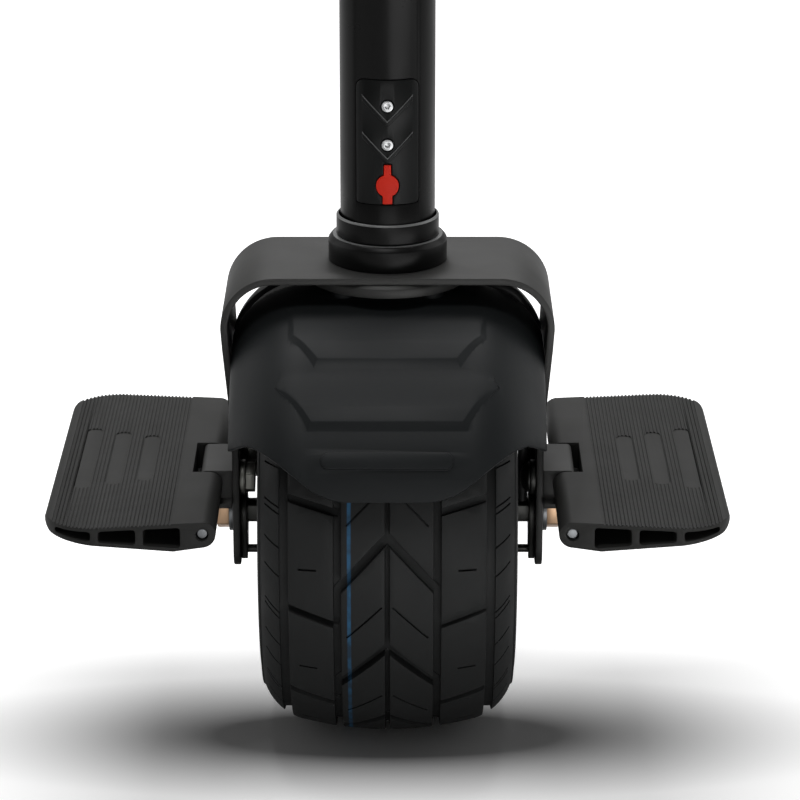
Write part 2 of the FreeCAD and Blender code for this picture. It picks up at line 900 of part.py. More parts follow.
def make_valve():
    """A snap-in valve that leaves the rim towards the axle and turns outwards to the right."""
    thread = size("valve_radius")
    sleeve = thread + size("valve_sleeve")
    x, height = size("valve_offset"), axle_height - bead_radius + size("valve_drop")
    foot = size("valve_foot_height")
    foot_height = axle_height - bead_radius - foot
    stem = rod(sleeve, height - foot_height, "z", x, 0, foot_height)
    flange = rod(sleeve + size("valve_foot"), foot - 2 * seat, "z", x, 0, foot_height)
    outlet = rod(sleeve, size("valve_length"), "x", x, 0, height)
    nozzle = rod(thread, size("valve_length") + size("valve_thread_length"), "x", x, 0, height)
    elbow = doc.addObject("Part::Sphere", "elbow")
    bind(elbow, "Radius", sleeve)
    bind_place(elbow, x, 0, height)
    node(fuse(stem, flange, outlet, nozzle, elbow), "tyre_valve")


def make_stator(radius):
    core = new_body("stator_core")
    bind_place(core, z=axle_height)
    half = size("stator_half")
    ring = draw(core, "YZ_Plane", ("circle", 0, 0, radius),
                ("circle", 0, 0, size("axle_core_radius") + seat))
    pad(core, ring, 2 * half, both=True)
    floor = radius - size("stator_slot_depth")
    width = floor * math.pi / size("stator_slot_count") * size("stator_slot_share")
    slot = draw(core, "YZ_Plane", [
        (-width, floor), (width, floor), (width, radius + BEYOND), (-width, radius + BEYOND)])
    slots = pocket(core, slot, 2 * (half + BEYOND), both=True)
    polar(core, [slots], "X_Axis", size("stator_slot_count"))
    node(core, "stator_core")

    coils = new_body("stator_windings")
    bind_place(coils, z=axle_height)
    coil_in, coil_out = floor + loose, radius - size("winding_tip_gap")
    turns_out = size("winding_half")
    rings = [
        [(side * (half + loose), coil_in), (side * turns_out, coil_in),
         (side * turns_out, coil_out), (side * (half + loose), coil_out)]
        for side in (1, -1)
    ]
    revolve(coils, draw(coils, "XZ_Plane", rings[0]), "H_Axis")
    bar = width - loose
    filling = draw(coils, "YZ_Plane", [
        (-bar, coil_in), (bar, coil_in), (bar, coil_out), (-bar, coil_out)])
    bars = pad(coils, filling, half + turns_out, both=True)
    polar(coils, [bars], "X_Axis", size("stator_slot_count"))
    revolve(coils, draw(coils, "XZ_Plane", rings[1]), "H_Axis")
    node(coils, "stator_windings")


def make_axle(bearing_in):
    shaft_start = bearing_in + size("bearing_width") + size("bearing_recess")
    end = leg_outer + size("axle_overhang")
    core, seat_radius = size("axle_core_radius"), size("axle_seat_radius")
    shaft, thread = size("axle_shaft_radius"), size("axle_thread_radius")
    half = [
        (end, 0),
        (end, thread - edge_break),
        (end - edge_break, thread),
        (leg_inner, thread),
        (leg_inner, shaft),
        (shaft_start, shaft),
        (shaft_start, seat_radius),
        (bearing_in, seat_radius),
        (bearing_in, core),
    ]
    other = [(-x, radius) for x, radius in reversed(half)]
    axle = turned_on_axle("axle_turned", half + other)
    flat_half = size("axle_flats") / 2
    flat_length = size("torque_plate_thickness") + size("axle_flat_run")
    flats = []
    for x in (leg_inner - flat_length, -leg_inner):
        for y in (flat_half, -flat_half - shaft):
            flats.append(block(x, y, axle_height - shaft, flat_length, shaft, 2 * shaft))
    exit_hole = rod(size("cable_radius") + seat, size("cable_exit_depth") + BEYOND, "z", cable_x, 0,
                    axle_height + shaft - size("cable_exit_depth"))
    node(cut(axle, exit_hole, *flats), "axle")

    bore = thread + seat
    thickness, height = size("washer_thickness"), size("nut_height")
    washer = cut(rod(size("washer_radius"), thickness, "x", leg_outer, 0, axle_height),
                 rod(bore, thickness + 2 * BEYOND, "x", leg_outer - BEYOND, 0, axle_height))
    nut_face = leg_outer + thickness
    nut = cut(hexagon(size("nut_across_flats"), height, "x", nut_face, 0, axle_height),
              rod(bore, height + 2 * BEYOND, "x", nut_face - BEYOND, 0, axle_height))
    for piece, label in ((washer, "axle_washer"), (nut, "axle_nut")):
        node(piece, "right_" + label)
        node(mirror(piece, LEFT_RIGHT), "left_" + label)


def make_arch():
    body = new_body("arch_frame")
    half = size("arch_width") / 2
    corner = size("arch_corner_radius")
    bend_low = axle_height + size("leg_bend_rise")
    bend_high = arch_top - corner
    foot = axle_height - size("leg_drop")
    right_side = [
        (leg_inner, foot),
        (leg_outer, foot),
        (leg_outer, bend_low),
        (half, bend_high, corner),
        (half - corner, arch_top),
    ]
    left_side = [
        (corner - half, arch_top, corner),
        (-half, bend_high),
        (-leg_outer, bend_low),
        (-leg_outer, foot),
        (-leg_inner, foot),
        (-leg_inner, bend_low),
        (plate - half, bend_high, plate - corner),
        (corner - half, arch_underside),
        (half - corner, arch_underside, plate - corner),
        (half - plate, bend_high),
        (leg_inner, bend_low),
    ]
    depth = size("arch_depth")
    pad(body, draw(body, "XZ_Plane", right_side + left_side), depth, both=True)
    wide, narrow = depth / 2, size("leg_depth") / 2
    toe = size("leg_toe_radius")
    taper_top = axle_height + size("leg_taper_top_rise")
    taper_low = axle_height + size("leg_taper_low_rise")
    waste = []
    for side in (1, -1):
        waste.append([
            (side * (wide + BEYOND), taper_top),
            (side * wide, taper_top),
            (side * narrow, taper_low),
            (side * narrow, foot + toe, -side * toe),
            (side * (narrow - toe), foot),
            (side * (narrow - toe), foot - BEYOND),
            (side * (wide + BEYOND), foot - BEYOND),
        ])
    holes = [
        ("circle", 0, axle_height, size("axle_thread_radius") + loose),
        ("circle", 0, axle_height - size("torque_pin_drop"), size("torque_pin_radius") + seat),
    ]
    for side in (1, -1):
        holes.append(("circle", side * size("bracket_bolt_spread"), hinge_height,
                      size("bracket_bolt_radius") + loose))
    pocket(body, draw(body, "YZ_Plane", *waste, *holes), both=True)
    neck_hole = draw(body, "XY_Plane", ("circle", 0, 0, size("socket_neck_radius") + seat))
    pocket(body, neck_hole, both=True)
    node(body, "arch_frame")


def make_torque_plates():
    thickness = size("torque_plate_thickness")
    big, half_fork = size("torque_plate_radius"), size("torque_pin_radius") + loose
    narrow = size("torque_pin_radius") + size("torque_fork_wall")
    foot = axle_height - size("leg_drop") + size("torque_plate_setback")
    pin_height = axle_height - size("torque_pin_drop")
    neck = pin_height + size("torque_neck_rise")
    cheek = axle_height - size("torque_cheek_drop")
    flat = size("axle_flats") / 2 + seat
    round_part = size("axle_shaft_radius") + seat
    flat_top = leg_of(round_part, flat)
    body = new_body("torque_plate")
    outline = [
        (narrow, foot),
        (narrow, neck),
        (big, cheek),
        (big, axle_height, big),
        (0, axle_height + big, big),
        (-big, axle_height),
        (-big, cheek),
        (-narrow, neck),
        (-narrow, foot),
        (-half_fork, foot),
        (-half_fork, pin_height, -half_fork),
        (0, pin_height + half_fork, -half_fork),
        (half_fork, pin_height),
        (half_fork, foot),
    ]
    flat_hole = [
        (flat, axle_height - flat_top),
        (flat, axle_height + flat_top, round_part),
        (-flat, axle_height + flat_top),
        (-flat, axle_height - flat_top, round_part),
    ]
    sketch = draw(body, "YZ_Plane", outline, flat_hole, lift=leg_inner - thickness)
    pad(body, sketch, thickness)
    node(body, "right_torque_plate")
    node(mirror(body, LEFT_RIGHT), "left_torque_plate")
    length = size("torque_pin_length") + plate
    pin = rod(size("torque_pin_radius"), length, "x", leg_outer - length, 0, pin_height)
    node(pin, "right_torque_pin")
    node(mirror(pin, LEFT_RIGHT), "left_torque_pin")


def make_fenders():
    shell = new_body("fender_shell")
    bind_place(shell, z=axle_height)
    half, wall = size("fender_half_width"), size("fender_wall")
    shoulder, bulge = size("fender_shoulder"), size("fender_shoulder_radius")
    inner_bulge = bulge - wall
    fall = fender_outer - bulge + leg_of(bulge, half - shoulder)
    inner_fall = fender_outer - bulge + leg_of(inner_bulge, half - wall - shoulder)
    skirt = fall - size("fender_skirt")
    section = [
        (half, skirt),
        (half, fall, bulge),
        (shoulder, fender_outer),
        (-shoulder, fender_outer, bulge),
        (-half, fall),
        (-half, skirt),
        (wall - half, skirt),
        (wall - half, inner_fall, -inner_bulge),
        (-shoulder, fender_inner),
        (shoulder, fender_inner, -inner_bulge),
        (half - wall, inner_fall),
        (half - wall, skirt),
    ]
    revolve(shell, draw(shell, "XZ_Plane", section), "H_Axis", 90 - size("tongue_end_angle"))
    trim_tongue(shell)
    trim_seam(shell)
    doc.recompute()

    upper = fender_step("upper_step")
    lower = fender_step("lower_step")
    bar = fender_bar()
    bosses, holes, screws = [], [], []
    y = -size("fender_screw_y")
    boss_root = leg_of(fender_outer, y) + axle_height - size("fender_boss_root")
    under = leg_of(fender_inner, y) + axle_height
    head_seat = under + size("fender_screw_recess")
    screw_top = flange_bottom + size("fender_screw_engagement")
    radius, head_radius = size("fender_screw_radius"), size("fender_screw_head_radius")
    head_height = size("fender_screw_head_height")
    for x in (size("fender_screw_x"), -size("fender_screw_x")):
        bosses.append(rod(size("fender_boss_radius"), flange_bottom - boss_root, "z", x, y, boss_root))
        holes.append(rod(radius + loose, flange_bottom - under + 2 * BEYOND, "z", x, y, under - BEYOND))
        holes.append(rod(head_radius + loose, head_seat - under + BEYOND, "z", x, y, under - BEYOND))
        head = rod(head_radius, head_height, "z", x, y, head_seat - head_height)
        shank = rod(radius, screw_top - head_seat, "z", x, y, head_seat)
        screws.append(fuse(head, shank))
    front = cut(fuse(shell, upper, lower, bar, *bosses), *holes)
    node(front, "front_fender")
    node(mirror(front, FRONT_BACK), "rear_fender")
    front_screws = node(group(*screws), "front_fender_screws")
    node(mirror(front_screws, FRONT_BACK), "rear_fender_screws")


def trim_tongue(shell):
    """Cuts the lower end of the front to its tongue outline, seen square to the tongue's middle."""
    view = (size("skirt_end_angle") + size("tongue_end_angle")) / 2
    top = fender_outer * sine(size("skirt_end_angle") - view)
    tip = fender_outer * sine(size("tongue_end_angle") - view)
    neck_half, tip_half = size("tongue_neck_half"), size("tongue_tip_half")
    wide = size("fender_half_width") + BEYOND
    hip_half, hip_radius = size("tongue_hip_half"), size("tongue_hip_radius")
    hip = tip + (top - tip) * size("tongue_hip_share")
    neck = tip + (top - tip) * size("tongue_neck_share")
    waste = [
        (-wide, top),
        (-size("tongue_half_width"), top, -hip_radius),
        (-hip_half, hip),
        (-neck_half, neck, size("tongue_tip_radius")),
        (-tip_half, tip),
        (tip_half, tip, size("tongue_tip_radius")),
        (neck_half, neck),
        (hip_half, hip, -hip_radius),
        (size("tongue_half_width"), top),
        (wide, top),
        (wide, tip - wide),
        (-wide, tip - wide),
    ]
    sketch = draw(shell, "XZ_Plane", waste, tilt=(ALONG_X, -view))
    pocket(shell, sketch, fender_outer + BEYOND, flip=True)


def trim_seam(shell):
    """Opens the seam under the arch, where the two fenders stand apart for the cable."""
    wide = size("fender_half_width") + BEYOND
    seam = size("fender_seam") / 2
    strip = [(-wide, -seam), (wide, -seam), (wide, BEYOND), (-wide, BEYOND)]
    pocket(shell, draw(shell, "XY_Plane", strip), both=True)


def fender_form(name, depth, offset=0, angle=0):
    """The fender's outer form sunk by a depth, turned about an axis that is moved off the axle at an angle."""
    body = new_body(name)
    bind_place(body, y=-1 * offset * cosine(angle), z=axle_height + offset * sine(angle))
    half, shoulder, bulge = size("fender_half_width"), size("fender_shoulder"), size("fender_shoulder_radius")
    crown = fender_outer - depth
    fall = crown - bulge + leg_of(bulge, half - shoulder)
    outline = [
        (-half, 0),
        (half, 0),
        (half, fall, bulge),
        (shoulder, crown),
        (-shoulder, crown, bulge),
        (-half, fall),
    ]
    revolve(body, draw(body, "XZ_Plane", outline), "H_Axis")
    return body


def fender_step(name):
    """A scale-like step: flush at its root, proud of the fender at its lower edge."""
    edge, root_angle = size(name + "_angle"), size(name + "_root_angle")
    side_angle = size(name + "_side_angle")
    half, side_half = size(name + "_half"), size(name + "_side_half")
    view = (edge + root_angle) / 2

    def across(angle):
        return fender_outer * sine(angle - view)

    body = new_body(name)
    bind_place(body, z=axle_height)
    outline = [
        (-half, across(edge)),
        (half, across(edge)),
        (side_half, across(side_angle)),
        (side_half, across(root_angle)),
        (-side_half, across(root_angle)),
        (-side_half, across(side_angle)),
    ]
    foot = fender_outer * cosine(edge - view) - size("step_root_depth")
    sketch = draw(body, "XZ_Plane", outline, tilt=(ALONG_X, -view), lift=foot)
    prism = pad(body, sketch, fender_outer + size("step_height") - foot)
    bind(prism, "TaperAngle", size("step_taper"))
    lean = edge - size("step_lean")
    reach = size("step_height") / (cosine(edge - lean) - cosine(root_angle - lean))
    surface = fender_form(name + "_surface", reach * cosine(root_angle - lean), reach, lean)
    return cut(common(body, surface), fender_form(name + "_inside", size("step_root_depth")))


def fender_bar():
    low, high = size("bar_low_angle"), size("bar_high_angle")
    view = (low + high) / 2
    top = fender_outer * sine(high - view)
    half = size("bar_half")
    body = new_body("fender_bar")
    bind_place(body, z=axle_height)
    outline = [
        (top - half, -top),
        (half - top, -top, top),
        (half, 0, top),
        (half - top, top),
        (top - half, top, top),
        (-half, 0, top),
    ]
    pad(body, draw(body, "XZ_Plane", outline, tilt=(ALONG_X, -view)), fender_outer + size("bar_height"))
    width = 2 * (half + BEYOND)
    return cut(body, rod(fender_outer - size("step_root_depth"), width, "x", -width / 2, 0, axle_height))


def make_stem():
    neck, bore = size("socket_neck_radius"), size("socket_bore_radius")
    flange = size("flange_radius")
    flange_body = turned_on_stem("flange_turned", [
        (neck + seat, flange_bottom),
        (flange, flange_bottom),
        (flange, arch_underside - size("flange_bevel")),
        (flange - size("flange_bevel"), arch_underside),
        (neck + seat, arch_underside),
    ])
    thread_holes = []
    thread_depth = size("fender_screw_engagement") + loose
    for x in (size("fender_screw_x"), -size("fender_screw_x")):
        for y in (size("fender_screw_y"), -size("fender_screw_y")):
            thread_holes.append(rod(size("fender_screw_radius") + seat, thread_depth, "z", x, y, flange_bottom))
    node(cut(flange_body, *thread_holes), "under_flange")
    outer = size("socket_radius")
    cup = stem_radius + seat
    neck_bottom = flange_bottom + size("socket_neck_setback")
    node(turned_on_stem("stem_socket", [
        (bore, neck_bottom),
        (neck, neck_bottom),
        (neck, arch_top),
        (outer, arch_top),
        (outer, socket_top - size("socket_bevel_height")),
        (outer - size("socket_bevel_width"), socket_top),
        (cup, socket_top),
        (cup, stem_bottom),
        (bore, stem_bottom),
    ]), "stem_socket")
    ring, ring_top = size("lock_ring_radius"), socket_top + size("lock_ring_height")
    relief = stem_radius + size("lock_ring_gap")
    bevel, lip = size("lock_ring_bevel"), socket_top + size("lock_ring_lip")
    node(turned_on_stem("stem_lock_ring", [
        (cup, socket_top),
        (ring - bevel, socket_top),
        (ring, socket_top + bevel),
        (ring, ring_top - bevel),
        (ring - bevel, ring_top),
        (relief, ring_top),
        (relief, lip),
        (cup, lip),
    ]), "stem_lock_ring")


def cover_outline(margin):
    """The rounded cover opening, drawn smaller by a margin, on the stem's front."""
    half = size("cover_half_width") - margin
    low = cover_low + margin
    high = low + size("cover_height") - 2 * margin
    corner, small = size("cover_corner_radius"), size("cover_low_corner_radius")
    return [
        (small - half, low),
        (half - small, low, small),
        (half, low + small),
        (half, high - corner, corner),
        (half - corner, high),
        (corner - half, high, corner),
        (-half, high - corner),
        (-half, low + small, small),
    ]


def curved_plate(name, loop, inner, outer):
    """The part of a tube about the stem's axis that lies behind an outline drawn on the front."""
    margin = size("backing_margin") + BEYOND
    low, high = cover_low - margin, cover_low + size("cover_height") + margin
    tube = turned_on_stem(name + "_tube", [(inner, low), (outer, low), (outer, high), (inner, high)])
    return common(tube, front_pad(name + "_outline", loop))


def front_pad(name, loop, start=stem_bore / 4, length=stem_radius):
    """A pad of an outline drawn on the stem's front, from a depth outwards to the front."""
    body = new_body(name)
    pad(body, draw(body, "XZ_Plane", loop, lift=start), length)
    return body


def make_stem_tube():
    tube = turned_on_stem("tube_turned", [
        (stem_bore, stem_bottom), (stem_radius, stem_bottom), (stem_radius, stem_top), (stem_bore, stem_top)])
    window = front_pad("window", cover_outline(as_size(0)))
    switch_hole = rod(size("switch_body_radius") + loose, stem_radius, "y", 0, stem_bore / 2, switch_height)
    node(cut(tube, window, switch_hole), "stem_tube")


def make_service_cover():
    cover_in = stem_bore + seat
    cover_out = cover_in + size("cover_thickness")
    ridge_height, width = size("chevron_ridge_height"), size("chevron_ridge_width")
    half, fall = size("chevron_ridge_half"), size("chevron_ridge_fall")
    pieces = [curved_plate("cover", cover_outline(loose), cover_in, cover_out)]
    for rise in (size("upper_chevron_rise"), size("lower_chevron_rise")):
        apex = cover_low + rise
        ridge = [
            (-half, apex + fall),
            (-half, apex + fall - width),
            (0, apex - width),
            (half, apex + fall - width),
            (half, apex + fall),
            (0, apex),
        ]
        pieces.append(curved_plate("ridge", ridge, cover_out - ridge_height, cover_out + ridge_height))

    floor, margin = size("plug_recess_depth") - cover_out, size("plug_margin")
    recess = plug_outline(margin, plug_height + size("plug_hinge_reach") + margin)
    tools = [
        front_pad("plug_recess", recess, start=-floor),
        rod(size("port_bore_radius") + size("port_rim"), stem_radius, "y", 0, floor - BEYOND, plug_height),
    ]
    radius, head = size("cover_screw_radius"), size("cover_screw_head_radius")
    head_height, key_depth = size("cover_screw_head_height"), size("cover_screw_key_depth")
    length = size("cover_thickness") + size("backing_thickness")
    screws, holes = [], []
    for rise in (size("upper_screw_rise"), size("lower_screw_rise")):
        height = cover_low + rise
        tools.append(rod(head + size("cover_screw_margin"), 2 * BEYOND, "y", 0, floor - 2 * BEYOND, height))
        tools.append(rod(radius + loose, stem_radius, "y", 0, floor - BEYOND, height))
        holes.append(rod(radius + seat, stem_radius, "y", 0, -stem_radius - BEYOND, height))
        cap = rod(head, head_height, "y", 0, floor - head_height, height)
        key = hexagon(size("cover_screw_key"), key_depth + BEYOND, "y", 0, floor - head_height - BEYOND, height)
        shank = rod(radius, length, "y", 0, floor, height)
        screws.append(cut(fuse(cap, shank), key))
    node(cut(fuse(*pieces), *tools), "service_cover")
    node(group(*screws), "cover_screws")
    make_cover_backing(holes)
    make_charge_plug(floor)


def plug_outline(margin, hinge_top):
    """The charge plug seen from the front: a disc with a hinge tab above and a pull tab below."""
    centre = plug_height
    radius = size("plug_radius") + margin
    hinge, pull = size("plug_hinge_width") / 2 + margin, size("plug_pull_width") / 2 + margin
    pull_bottom = centre - size("plug_pull_reach") - margin
    hinge_root = centre + leg_of(radius, hinge)
    pull_root = centre - leg_of(radius, pull)
    return [
        (pull, pull_bottom),
        (pull, pull_root, radius),
        (radius, centre, radius),
        (hinge, hinge_root),
        (hinge, hinge_top),
        (-hinge, hinge_top),
        (-hinge, hinge_root, radius),
        (-radius, centre, radius),
        (-pull, pull_root),
        (-pull, pull_bottom),
    ]


def make_charge_plug(floor):
    """The plug turns on the round end of its hinge tab."""
    thickness, width = size("plug_thickness"), size("plug_hinge_width")
    back = floor - loose
    disc = front_pad("plug_disc", plug_outline(as_size(0), plug_hinge_height), start=-back, length=thickness)
    knuckle = rod(thickness / 2, width, "x", -width / 2, back - thickness / 2, plug_hinge_height)
    lip_radius = size("port_bore_radius") - size("plug_lip_gap")
    lip = rod(lip_radius, size("plug_lip_length") + thickness / 2, "y", 0, back - thickness / 2, plug_height)
    hollow = rod(lip_radius - size("plug_lip_wall"), stem_radius, "y", 0, back, plug_height)
    node(fuse(disc, knuckle, cut(lip, hollow)), "charge_plug")


def make_cover_backing(screw_holes):
    thickness = size("backing_thickness")
    outer = stem_bore - size("backing_gap")
    inner = outer - thickness
    backing = curved_plate("backing", cover_outline(-size("backing_margin")), inner, outer)
    board_front = -size("board_setback")
    post_x = size("board_post_x")
    post_start = -leg_of(inner, post_x) - thickness / 2
    posts = []
    for x in (post_x, -post_x):
        for rise in (size("board_post_low_rise"), size("board_post_high_rise")):
            posts.append(rod(size("board_post_radius"), board_front - post_start, "y", x, post_start,
                             cover_low + rise))
    barrel = size("port_barrel_radius")
    barrel_hole = rod(barrel + seat, stem_radius, "y", 0, -stem_radius - BEYOND, plug_height)
    node(cut(fuse(backing, *posts), barrel_hole, *screw_holes), "cover_backing")

    port_front = -leg_of(outer, barrel)
    port = rod(barrel, size("port_length"), "y", 0, port_front, plug_height)
    port_bore = rod(size("port_bore_radius"), size("port_depth") + BEYOND, "y", 0, port_front - BEYOND,
                    plug_height)
    node(cut(port, port_bore), "charge_socket")

    board_half, board, overhang = size("board_half_width"), size("board_thickness"), size("board_overhang")
    node(block(-board_half, board_front, cover_low - overhang, 2 * board_half, board,
               size("cover_height") + 2 * overhang), "controller_board")
    capacitors = []
    for rise in (size("capacitor_low_rise"), size("capacitor_high_rise")):
        capacitors.append(rod(size("capacitor_radius"), size("capacitor_length"), "y", 0, board_front + board,
                              cover_low + rise))
    node(group(*capacitors), "board_capacitors")


def make_battery():
    base = cover_low + size("cover_height") + size("backing_margin")
    first = base + size("holder_foot")
    pitch = size("cell_length") + size("holder_thickness")
    spread = size("cell_spacing")
    disc = stem_bore - loose
    holders = [rod(disc, size("holder_foot"), "z", 0, 0, base)]
    cells = []
    for layer in range(int(sheet.get("cell_layers"))):
        bottom = first + pitch * layer
        for x in (spread, -spread):
            for y in (spread, -spread):
                cells.append(rod(size("cell_radius"), size("cell_length"), "z", x, y, bottom))
        holders.append(rod(disc, size("holder_thickness"), "z", 0, 0, bottom + size("cell_length")))
    node(group(*cells), "battery_cells")
    node(group(*holders), "battery_holders")


def make_pedals():
    body = new_body("pedal")
    nose = size("pedal_nose_radius")
    tip = hinge_x + size("pedal_span")
    belly = hinge_height - size("pedal_belly")
    belly_x = hinge_x + size("pedal_belly_offset")
    tip_round = size("pedal_tip_round")
    tip_bottom = pedal_top - size("pedal_tip_thickness")
    end_of_belly = tip - size("pedal_tip_run")
    section = [
        (hinge_x, pedal_top, nose),
        (hinge_x - nose, hinge_height, nose),
        (hinge_x, hinge_height - nose),
        (belly_x, belly),
        (end_of_belly, tip_bottom, size("pedal_tip_belly_radius")),
        (tip, pedal_top - tip_round, tip_round),
        (tip - tip_round, pedal_top),
    ]
    slope = (tip_bottom - belly) / (end_of_belly - belly_x)
    roof, corner = pedal_top - size("cell_wall_top"), size("pedal_cell_corner")
    cells = []
    for index in range(int(sheet.get("pedal_cell_count"))):
        start = hinge_x + size("pedal_cell_start") + (size("pedal_cell_width") + size("pedal_cell_rib")) * index
        end = start + size("pedal_cell_width")
        floor = belly + size("cell_wall_bottom")
        low, low_end = floor + slope * (start - belly_x), floor + slope * (end - belly_x)
        cells.append([
            (start + corner, low + slope * corner),
            (end - corner, low_end - slope * corner, corner),
            (end, low_end + corner),
            (end, roof - corner, corner),
            (end - corner, roof),
            (start + corner, roof, corner),
            (start, roof - corner),
            (start, low + corner, corner),
        ])
    bore = ("circle", hinge_x, hinge_height, size("hinge_pin_radius") + seat)
    length = 2 * (pedal_long_half + BEYOND)
    pad(body, draw(body, "XZ_Plane", section, bore, *cells), length, both=True)
    trim_pedal_plan(body, tip, nose)
    rib_pedal_top(body)
    right = node(body, "right_pedal")
    node(mirror(right, LEFT_RIGHT), "left_pedal")

    half = pedal_short_half - size("hinge_pin_setback")
    pin = new_body("hinge_pin")
    bind_place(pin, x=hinge_x, z=hinge_height)
    radius, bevel = size("hinge_pin_radius"), size("hinge_pin_bevel")
    outline = [(0, -half), (radius - bevel, -half), (radius, bevel - half), (radius, half - bevel),
               (radius - bevel, half), (0, half)]
    revolve(pin, draw(pin, "XY_Plane", outline), "V_Axis")
    node(pin, "right_hinge_pin")
    node(mirror(pin, LEFT_RIGHT), "left_hinge_pin")


def trim_pedal_plan(body, tip, nose):
    """Cuts the extruded deck to its flared plan with round outer corners and a notch for the bracket."""
    inner = hinge_x - nose - BEYOND
    corner = size("pedal_corner_radius")
    waste = []
    for side in (1, -1):
        waste.append([
            (inner, side * pedal_short_half),
            (tip - corner, side * pedal_long_half, -side * corner),
            (tip, side * (pedal_long_half - corner)),
            (tip + BEYOND, side * (pedal_long_half - corner)),
            (tip + BEYOND, side * (pedal_long_half + 2 * BEYOND)),
            (inner, side * (pedal_long_half + 2 * BEYOND)),
        ])
    notch, reach = size("notch_half"), hinge_x + size("notch_reach")
    waste.append([(inner, -notch), (reach, -notch), (reach, notch), (inner, notch)])
    pocket(body, draw(body, "XY_Plane", *waste), both=True)


def rib_pedal_top(body):
    half_groove = size("rib_groove_width") / 2
    start = hinge_x + size("rib_start")
    floor = pedal_top - size("rib_groove_depth")
    groove = [
        (start - half_groove, pedal_top + BEYOND),
        (start - half_groove, floor),
        (start + half_groove, floor),
        (start + half_groove, pedal_top + BEYOND),
    ]
    first = pocket(body, draw(body, "XZ_Plane", groove), both=True)
    pattern = body.newObject("PartDesign::LinearPattern", "pedal_ribs")
    pattern.Originals = [first]
    pattern.Direction = (origin_part(body, "X_Axis"), [""])
    bind(pattern, "Length", size("rib_pitch") * (size("rib_count") - 1))
    bind(pattern, "Occurrences", size("rib_count"))
    body.Tip = pattern
    slots = []
    width = size("slot_width") / 2
    for index in range(int(sheet.get("slot_count"))):
        x = hinge_x + size("slot_first") + size("slot_pitch") * index
        half = size("slot_first_half") + size("slot_growth") * index
        slots.append([
            (x + width, width - half),
            (x + width, half - width, width),
            (x, half, width),
            (x - width, half - width),
            (x - width, width - half, width),
            (x, -half, width),
        ])
    sketch = draw(body, "XY_Plane", *slots, lift=pedal_top - size("slot_depth"))
    pocket(body, sketch, BEYOND, flip=True)


def make_brackets():
    body = new_body("hinge_bracket")
    reach = leg_outer + size("bracket_reach")
    bottom = axle_height + size("washer_radius") + size("bracket_washer_gap")
    toe_top = bottom + size("bracket_toe_thickness")
    rounding = size("bracket_round")
    toe_end = leg_outer + size("bracket_toe_reach")
    toe = [(leg_outer, bottom), (toe_end, bottom), (toe_end, toe_top), (leg_outer, toe_top)]
    outline = [
        (leg_outer, bottom),
        (reach, bottom),
        (reach, pedal_top - rounding, rounding),
        (reach - rounding, pedal_top),
        (leg_outer, pedal_top),
    ]
    bore = ("circle", hinge_x, hinge_height, size("hinge_pin_radius") + running)
    pad(body, draw(body, "XZ_Plane", outline, bore), 2 * size("bracket_half"), both=True)
    pad(body, draw(body, "XZ_Plane", toe), 2 * size("bracket_toe_half"), both=True)
    holes = [
        ("circle", side * size("bracket_bolt_spread"), hinge_height, size("bracket_bolt_radius") + seat)
        for side in (1, -1)
    ]
    engagement = size("bracket_bolt_engagement")
    pocket(body, draw(body, "YZ_Plane", *holes, lift=leg_outer), engagement + loose, flip=True)
    node(body, "right_hinge_bracket")
    node(mirror(body, LEFT_RIGHT), "left_hinge_bracket")

    washer, radius = size("bracket_washer_thickness"), size("bracket_bolt_radius")
    head_face = leg_inner - washer
    tip = leg_outer + engagement
    hexes, domes = [], []
    for y in (size("bracket_bolt_spread"), -size("bracket_bolt_spread")):
        head = hexagon(size("bracket_bolt_flats"), size("bracket_bolt_head"), "x",
                       head_face - size("bracket_bolt_head"), y, hinge_height)
        for bolts, shaped_head in ((hexes, head), (domes, dome_head(head_face, y))):
            ring = cut(rod(size("bracket_washer_radius"), washer, "x", head_face, y, hinge_height),
                       rod(radius + seat, washer + 2 * BEYOND, "x", head_face - BEYOND, y, hinge_height))
            shank = rod(radius, tip - head_face, "x", head_face, y, hinge_height)
            bolts += [fuse(shank, shaped_head), ring]
    node(mirror(group(*hexes), LEFT_RIGHT), "left_bracket_bolts")
    node(group(*domes), "right_bracket_bolts")


def dome_head(face, y):
    """A round button head, flat against its washer at the given face, domed inwards."""
    body = new_body("dome_head")
    bind_place(body, y=y, z=hinge_height)
    radius, height = size("bracket_dome_radius"), size("bracket_bolt_head")
    top, bulge, rim = size("dome_flat_radius"), size("dome_bulge_radius"), face - size("dome_edge")
    outline = [(face, 0), (face, radius), (rim, radius, bulge), (face - height, top), (face - height, 0)]
    revolve(body, draw(body, "XZ_Plane", outline), "H_Axis")
    return body


